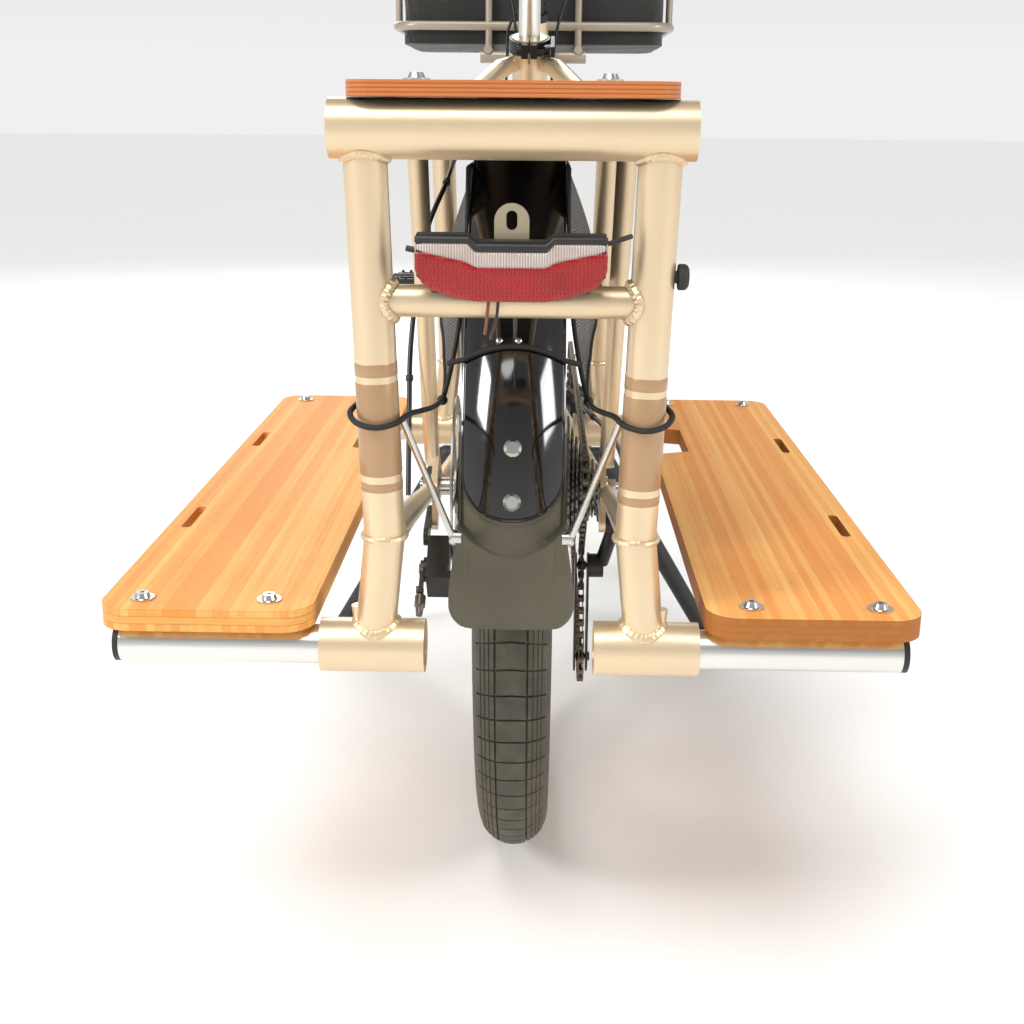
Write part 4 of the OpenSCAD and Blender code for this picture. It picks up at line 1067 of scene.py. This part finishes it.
def make_tyre(name, body, centre_y, replaced):
    """A treaded tyre: wide centre blocks, fine lengthwise lines and shallow-arched cross cuts."""
    half = [0, 4, 8, 12.2, 12.7, 13.7, 14.2, 17.5, 18.0, 18.8, 19.3, 22.1, 22.6, 23.4, 23.9,
            26.7, 27.2, 28.0, 28.5, 31.5, 34.0, 34.7, 36, 41, 47, 54, 60, 66, 71]
    offsets = [-s for s in reversed(half[1:])] + half
    blocks = 90
    shares = (0.0, 0.028, 0.036, 0.104, 0.112, 0.40, 0.70)
    shape, rows = Shape(), []
    for block in range(blocks):
        for share in shares:
            row = []
            for s in offsets:
                turn = s / 33.0
                swell = 1.0 - smooth_step((abs(s) - 33.5) / 1.5)
                depth = tread_depth(s, share)
                reach = min(abs(s), 34.7)
                arch = (0.10 * reach + 0.0055 * reach ** 2) / 344
                a = 360 * (block + share) / blocks + math.degrees(arch)
                row.append(round_wheel((31.4 + 0.5 * swell - depth * 0.7) * sin(turn),
                                       TYRE_CENTRE_R + (31.6 + swell - depth) * cos(turn),
                                       a, centre_y))
            a = 360 * (block + share) / blocks + math.degrees((3.47 + 6.62) / 344)
            ends = [[round_wheel(side * x, r, a, centre_y)
                     for x, r in ((22.0, 291.5), (18.6, 288.5), (18.0, 286.6), (13.0, 287.4))]
                    for side in (-1, 1)]
            rows.append(ends[0][::-1] + row + ends[1])
    shape.grid(rows, closed_rows=True, closed_columns=True)
    shape.make(name, "tyre", body, "tyre_rubber", replaces=(replaced,), sharp=28)


def make_wheel_trim(name, body, centre_y):
    """Spoke nipples and the valve."""
    trim = Shape()
    for i in range(SPOKES):
        a = 360 / SPOKES * i
        side = 1 if i % 2 == 0 else -1
        base = round_wheel(side * 3, RIM_R - 20.5, a, centre_y)
        inward = round_wheel(side * 3.6, RIM_R - 32, a, centre_y) - base
        trim.turned(base, inward, [
            (0.0026, 0), (0.0026, 0.002), (0.0019, 0.0026), (0.0019, 0.0110)], 10)
    trim.make(name + "_nipples", "steel", body, "bright_steel")
    a = 360 / SPOKES * 8.5
    base = round_wheel(0, RIM_R - 19, a, centre_y)
    valve = Shape().turned(base, round_wheel(0, RIM_R - 60, a, centre_y) - base, [
        (0.0045, 0), (0.0045, 0.0025), (0.0031, 0.0028), (0.0031, 0.022), (0.0042, 0.0224),
        (0.0042, 0.034), (0.0030, 0.036)], 20)
    valve.make(name + "_valve", "rubber", body, "black_plastic")


# ---------------------------------------------------------------- chain and brakes

def pitch_radius(teeth):
    return CHAIN_PITCH / 2 / sin(pi / teeth)


def chain_route():
    """The chain's pitch line, as points in the YZ plane in millimetres."""
    wheels = [((BB.y, BB.z), pitch_radius(40), 1), ((0, WHEEL_Z), pitch_radius(18), 1),
              ((4, 262), pitch_radius(11), -1), ((-8, 168), pitch_radius(11), 1)]

    def run_angle(a, b):
        (ay, az), ra, sa = a
        (by, bz), rb, sb = b
        gap = math.hypot(by - ay, bz - az)
        lean = math.degrees(math.acos((ra * sa - rb * sb) / gap))
        return math.degrees(math.atan2(bz - az, by - ay)) - lean

    points = []
    for i, wheel in enumerate(wheels):
        before, after = wheels[i - 1], wheels[(i + 1) % 4]
        (y, z), radius, side = wheel
        turn = 180 if side < 0 else 0
        come, leave = run_angle(before, wheel) + turn, run_angle(wheel, after) + turn
        swing = (leave - come) % 360 if side > 0 else -((come - leave) % 360)
        for k in range(41):
            a = radians(come + swing * k / 40)
            points.append((y + radius * cos(a), z + radius * sin(a)))
    return points


def evenly(points, count):
    """That many points at equal distances round a closed line."""
    closed = points + [points[0]]
    lengths = [0.0]
    for (a, b), (c, d) in zip(closed, closed[1:]):
        lengths.append(lengths[-1] + math.hypot(c - a, d - b))
    found, k = [], 0
    for i in range(count):
        want = lengths[-1] * i / count
        while lengths[k + 1] < want:
            k += 1
        share = (want - lengths[k]) / max(1e-9, lengths[k + 1] - lengths[k])
        (a, b), (c, d) = closed[k], closed[k + 1]
        found.append((a + (c - a) * share, b + (d - b) * share))
    return found


def make_chain():
    route = chain_route()
    whole = sum(math.hypot(c - a, d - b) for (a, b), (c, d) in zip(route, route[1:] + route[:1]))
    count = 2 * round(whole / CHAIN_PITCH / 2)
    pins = evenly(route, count)
    plates, rollers = Shape(), Shape()
    outline = []
    for k in range(9):
        a = radians(90 + 22.5 * k)
        outline.append((4.1 * cos(a), 4.1 * sin(a)))
    outline.append((CHAIN_PITCH / 2, -2.9))
    for k in range(9):
        a = radians(-90 + 22.5 * k)
        outline.append((CHAIN_PITCH + 4.1 * cos(a), 4.1 * sin(a)))
    outline.append((CHAIN_PITCH / 2, 2.9))
    outline = [(a / 1000, b / 1000) for a, b in outline]
    for i, (y, z) in enumerate(pins):
        ny, nz = pins[(i + 1) % count]
        along = Vector((0, ny - y, nz - z)).normalized()
        square = Vector((1, 0, 0)).cross(along)
        offset = 2.15 if i % 2 else 1.25
        for side in (-1, 1):
            x = CHAIN_X + side * offset + (0 if side > 0 else -0.85)
            plates.slab(outline, at(x, y, z), along, square, 0.00085)
        rollers.turned(at(CHAIN_X - 3.3, y, z), (1, 0, 0), [(0.0016, 0), (0.0016, 0.0066)], 10)
        rollers.turned(at(CHAIN_X - 1.2, y, z), (1, 0, 0), [(0.0038, 0), (0.0038, 0.0024)], 14)
    plates.make("chain_plates", "chain", "frame", "chain_steel", replaces=("chain",))
    rollers.make("chain_rollers", "chain", "frame", "chain_steel")


def make_brake_details(name, body, centre_y, x, outer, outward, radius):
    """Barrel adjuster, pinch bolt and arm pivot on a disc caliper."""
    out = Vector((0, cos(radians(outward)), sin(radians(outward))))
    side = Vector((0, -sin(radians(outward)), cos(radians(outward))))
    centre = at(0, centre_y, WHEEL_Z) + out * radius / 1000

    def spot(dx, along, across):
        return centre + Vector(((x + dx) / 1000, 0, 0)) + out * along / 1000 + side * across / 1000

    parts = Shape()
    parts.turned(spot(-outer - 8.2, 4, 0), (1, 0, 0),
                 [(0.0050, 0), (0.0062, 0.0010), (0.0062, 0.0050)], 6)
    parts.turned(spot(-outer - 5, 26, 0), out, [
        (0.0028, 0), (0.0028, 0.008), (0.0052, 0.0084), (0.0052, 0.0190), (0.0040, 0.0205),
        (0.0030, 0.0290)], 18)
    parts.turned(spot(-outer - 9.5, 27, 0), (1, 0, 0), [(0.0040, 0), (0.0040, 0.0040)], 6)
    for across in (-11, 11):
        parts.turned(spot(2, -12, across), (1, 0, 0), [(0.0030, 0), (0.0030, 0.0082)], 16)
    parts.make(name, "dark_steel", body, "cog_steel")


# ---------------------------------------------------------------- cables

REAR_BRAKE = [(-170, 1098, 1068), (-150, 1130, 1040), (-90, 1146, 980), (-44, 1130, 900),
              (-30, 1096, 838), (-24, 1040, 800), (-23, 900, 762), (-24, 700, 722), (-40, 560, 726),
              (-56, 470, 718), (-68, 360, 690), (-73, 300, 668), (-74, 240, 660), (-78, 110, 632),
              (-96, 55, 580), (-106, 10, 490), (-106, -22, 420), (-104, -62, 352)]
SHIFT = [(150, 1088, 1046), (140, 1122, 1010), (90, 1146, 950), (50, 1130, 870), (34, 1105, 790),
         (32, 1060, 690), (30, 900, 520), (30, 760, 380), (43, 700, 334), (55, 600, 330),
         (70, 490, 336), (73, 400, 350), (73, 270, 365), (90, 180, 366), (101, 60, 370),
         (103, -30, 360), (99, -50, 330)]
FRONT_BRAKE = [(170, 1098, 1068), (148, 1128, 1026), (90, 1112, 976), (40, 1118, 920),
               (-18, 1124, 872), (-42, 1101, 832), (-43, 1091, 790), (-49, 1117, 726),
               (-74, 1128, 682), (-77, 1152, 636), (-79, 1185, 560), (-77, 1222, 470),
               (-70, 1228, 432)]


def make_cables():
    both = Shape()
    for route in (REAR_BRAKE, SHIFT):
        both.tube([at(*p) for p in smooth_route(route, 8)], 0.0025, sides=12)
    both = both.make("control_casings", "cable", None, "cable_housing")
    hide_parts("control_cables")
    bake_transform(both)
    Shape().tube([at(*p) for p in smooth_route(FRONT_BRAKE, 8)], 0.0025, sides=12).make(
        "front_brake_casing", "cable", "steering", "cable_housing", replaces=("front_brake_cable",))
    clips = Shape()
    for route, spots in ((REAR_BRAKE, (50, 62, 78, 104, 124)), (SHIFT, (46, 54, 86, 100, 116))):
        line = [at(*p) for p in smooth_route(route, 8)]
        for k in spots:
            step = line[k + 1] - line[k - 1]
            clips.turned(line[k] - step.normalized() * 0.003, step, [
                (0.0026, 0), (0.0037, 0.0004), (0.0037, 0.0056), (0.0026, 0.006)], 16)
    clips.make("cable_clips", "plastic", "frame", "black_plastic")


# ---------------------------------------------------------------- saddle, grips, basket

def make_saddle():
    """A crowned cover over a moulded base on two rails."""
    y0 = BB.y - (530 + POST_OUT) * sin(LEAN)
    z0 = BB.z + (530 + POST_OUT) * cos(LEAN) + 52
    stations = [(-134, 30, 12, 10), (-131, 50, 18, 7), (-118, 62, 22, 3), (-90, 72, 24, 1),
                (-60, 74, 23, 0), (-28, 62, 21, -1), (5, 43, 19, -2), (40, 29, 17, -2),
                (80, 21, 15, -1), (106, 17, 13, 1), (118, 13, 10, 3), (122, 6, 6, 4)]
    inner = stations[1:-1]
    rows = []
    for y, half, thick, drop in stations:
        row = []
        for k in range(24):
            a = 2 * pi * k / 24
            flat = abs(cos(a)) ** 0.72 * (1 if cos(a) >= 0 else -1)
            tall = abs(sin(a)) ** 0.80 * (1 if sin(a) >= 0 else -1)
            lift = thick * 0.80 * tall if tall > 0 else thick * 0.62 * tall
            groove = 3.0 * math.exp(-(half * flat / 9) ** 2) if tall > 0 and y < 60 else 0.0
            row.append(at(half * flat, y0 + y, z0 - drop + lift - groove))
        rows.append(row)
    pad = Shape().loft(rows).make("saddle_pad", "saddle", "seatpost", "saddle_cover",
                                  replaces=("saddle",), sharp=180, levels=2)

    rows = []
    for y, half, thick, drop in inner:
        rows.append([at(half * 0.90 * cos(2 * pi * k / 24), y0 + y,
                        z0 - drop - thick * 0.50 + 7 * min(0.0, sin(2 * pi * k / 24)))
                     for k in range(24)])
    Shape().loft(rows).make("saddle_base", "plastic", "seatpost", "black_plastic", levels=1)

    rails = Shape()
    for side in (-1, 1):
        rails.tube([at(side * x, y0 + y, z0 + z) for x, y, z in smooth_route([
            (21.4, -96, -16), (21.4, -58, -34.6), (21.4, -40, -36), (21.4, 0, -36), (21.4, 40, -36),
            (16, 84, -26), (10, 108, -12)], 6)], 0.0035, sides=14)
    rails.make("saddle_rails", "steel", "seatpost", "bright_steel")

    seam = [at(side * half * 0.985, y0 + y, z0 - drop - 2)
            for side, part in ((1, inner), (-1, reversed(inner)))
            for y, half, thick, drop in part]
    Shape().tube(seam, 0.0010, sides=8, closed=True).make(
        "saddle_seam", "saddle", "seatpost", "saddle_cover")


def on_bar(side, x, y, z):
    """A point in the grip's own axes on one side of the handlebar."""
    across = BAR_BEND.x + x * cos(BAR_SWEEP) + y * sin(BAR_SWEEP)
    back = BAR_BEND.y - x * sin(BAR_SWEEP) + y * cos(BAR_SWEEP)
    return at(side * across, back, BAR_BEND.z + z)


def make_grips():
    """Rubber grips with rings along them and a flange at the inner end."""
    whole = (BAR_HALF - BAR_BEND.x) / cos(BAR_SWEEP)
    shape = Shape()
    for side, start in ((1, 58 + 30 + 1), (-1, 60)):
        length = (whole - start) / 1000
        profile = [(0.0114, 0), (0.0180, 0.0004), (0.0184, 0.0012), (0.0184, 0.0040),
                   (0.0160, 0.0048)]
        rings = int((length - 0.012) / 0.0042)
        for k in range(rings):
            s = 0.0062 + k * 0.0042
            swell = 0.0009 * sin(pi * k / rings)
            profile += [(0.0151 + swell, s), (0.0160 + swell, s + 0.0008),
                        (0.0160 + swell, s + 0.0024), (0.0151 + swell, s + 0.0032)]
        profile += [(0.0160, length - 0.004), (0.0160, length + 0.002), (0.0140, length + 0.004),
                    (0.0060, length + 0.0044)]
        base = on_bar(side, start, 0, 0)
        shape.turned(base, on_bar(side, start + 100, 0, 0) - base, profile, steps=40)
    shape.make("ribbed_grips", "rubber", "steering", "grip_rubber", replaces=("grips",))


def rounded_loop(half_x, half_y, corner, straight, bend):
    """Points round a rectangle with round corners, from the middle of one side."""
    loop = []
    for k in range(4):
        a0 = 90 * k
        cx = (half_x - corner) * (1 if k in (0, 3) else -1)
        cy = (half_y - corner) * (1 if k in (0, 1) else -1)
        for j in range(bend + 1):
            a = radians(a0 + 90 * j / bend)
            loop.append((cx + corner * cos(a), cy + corner * sin(a)))
        nx = (half_x - corner) * (1 if (k + 1) % 4 in (0, 3) else -1)
        ny = (half_y - corner) * (1 if (k + 1) % 4 in (0, 1) else -1)
        a = radians(a0 + 90)
        start = (cx + corner * cos(a), cy + corner * sin(a))
        end = (nx + corner * cos(a), ny + corner * sin(a))
        for j in range(1, straight):
            t = j / straight
            loop.append((start[0] + (end[0] - start[0]) * t, start[1] + (end[1] - start[1]) * t))
    return loop


def make_liner():
    """A net bag tied inside the basket: slack walls, round corners, a bound hem."""
    half_x, half_y, corner = 226.5, 161.5, 33
    low, high, middle = 811, 973.5, 1340
    loop = rounded_loop(half_x, half_y, corner, 18, 6)
    cloth = 0.0012
    floor = [[at(x * share, middle + y * share, low) for x, y in loop]
             for share in (0.02, 0.3, 0.6, 0.85, 0.97)]
    walls = []
    levels = 22
    for i in range(levels + 1):
        t = i / levels
        row = []
        for k, (x, y) in enumerate(loop):
            slack = 3.2 * sin(pi * t) * (0.6 + 0.4 * sin(k * 0.9)) + 1.2 * sin(3 * pi * t + k * 0.5)
            draw = max(0.0, slack)
            reach = math.hypot(x, y)
            row.append(at(x * (1 - draw / reach), middle + y * (1 - draw / reach),
                          low + 2 + (high - low - 2) * t))
        walls.append(row)

    centre_y = middle / 1000 + REAR_AXLE_Y / 1000

    def inside(p):
        """The point one thickness of cloth further in on a wall."""
        return p + Vector((-math.copysign(cloth, p.x) * (abs(p.x) > 0.19),
                           -cloth if p.y > centre_y else cloth, 0))

    inner = [[p + Vector((0, 0, cloth)) for p in row] for row in floor]
    inner += [[inside(p) for p in row] for row in walls]
    bag = Shape()
    bag.grid(floor + walls + inner[::-1], closed_rows=True, closed_columns=True)
    sheet = bag.make("liner_net", "net", "frame", "skirt_mesh", replaces=("basket_liner",))
    rim = [p - Vector((0, 0, 0.0005)) for p in walls[-1]]
    hem = Shape().tube(rim, 0.0028, sides=10, closed=True).make(
        "liner_hem", "braid", "frame", "skirt_mesh")


# ---------------------------------------------------------------- all of it

def make_floor():
    """A wide level ground just under the wheels; it isn't part of the bicycle."""
    floor, centre = Shape(), Vector((0, 0, -0.0002))
    floor.grid([circle(centre, Vector((1, 0, 0)), Vector((0, 1, 0)), r, 96)
                for r in (0.001, 2.0, 6.0, 18.0, 40.0)], closed_columns=True)
    obj = floor.make("studio_floor", "floor", None, None)


make_camera()
make_light()
make_floor()
dress_nodes()
make_weld_beads()
make_rack_details()
make_fender()
make_flap()
make_skirts()
make_skirt_cords()
make_light_details()
make_tyre("rear_tread", "rear_wheel", 0, "rear_tyre")
make_tyre("front_tread", "front_wheel", WHEELBASE, "front_tyre")
make_wheel_trim("rear", "rear_wheel", 0)
make_wheel_trim("front", "front_wheel", WHEELBASE)
make_chain()
make_brake_details("rear_brake_fittings", "frame", 0, -62, 22.8, 217, 96)
make_brake_details("front_brake_fittings", "steering", WHEELBASE, -38.1, 10, 146, 86)
make_cables()
make_saddle()
make_grips()
make_liner()
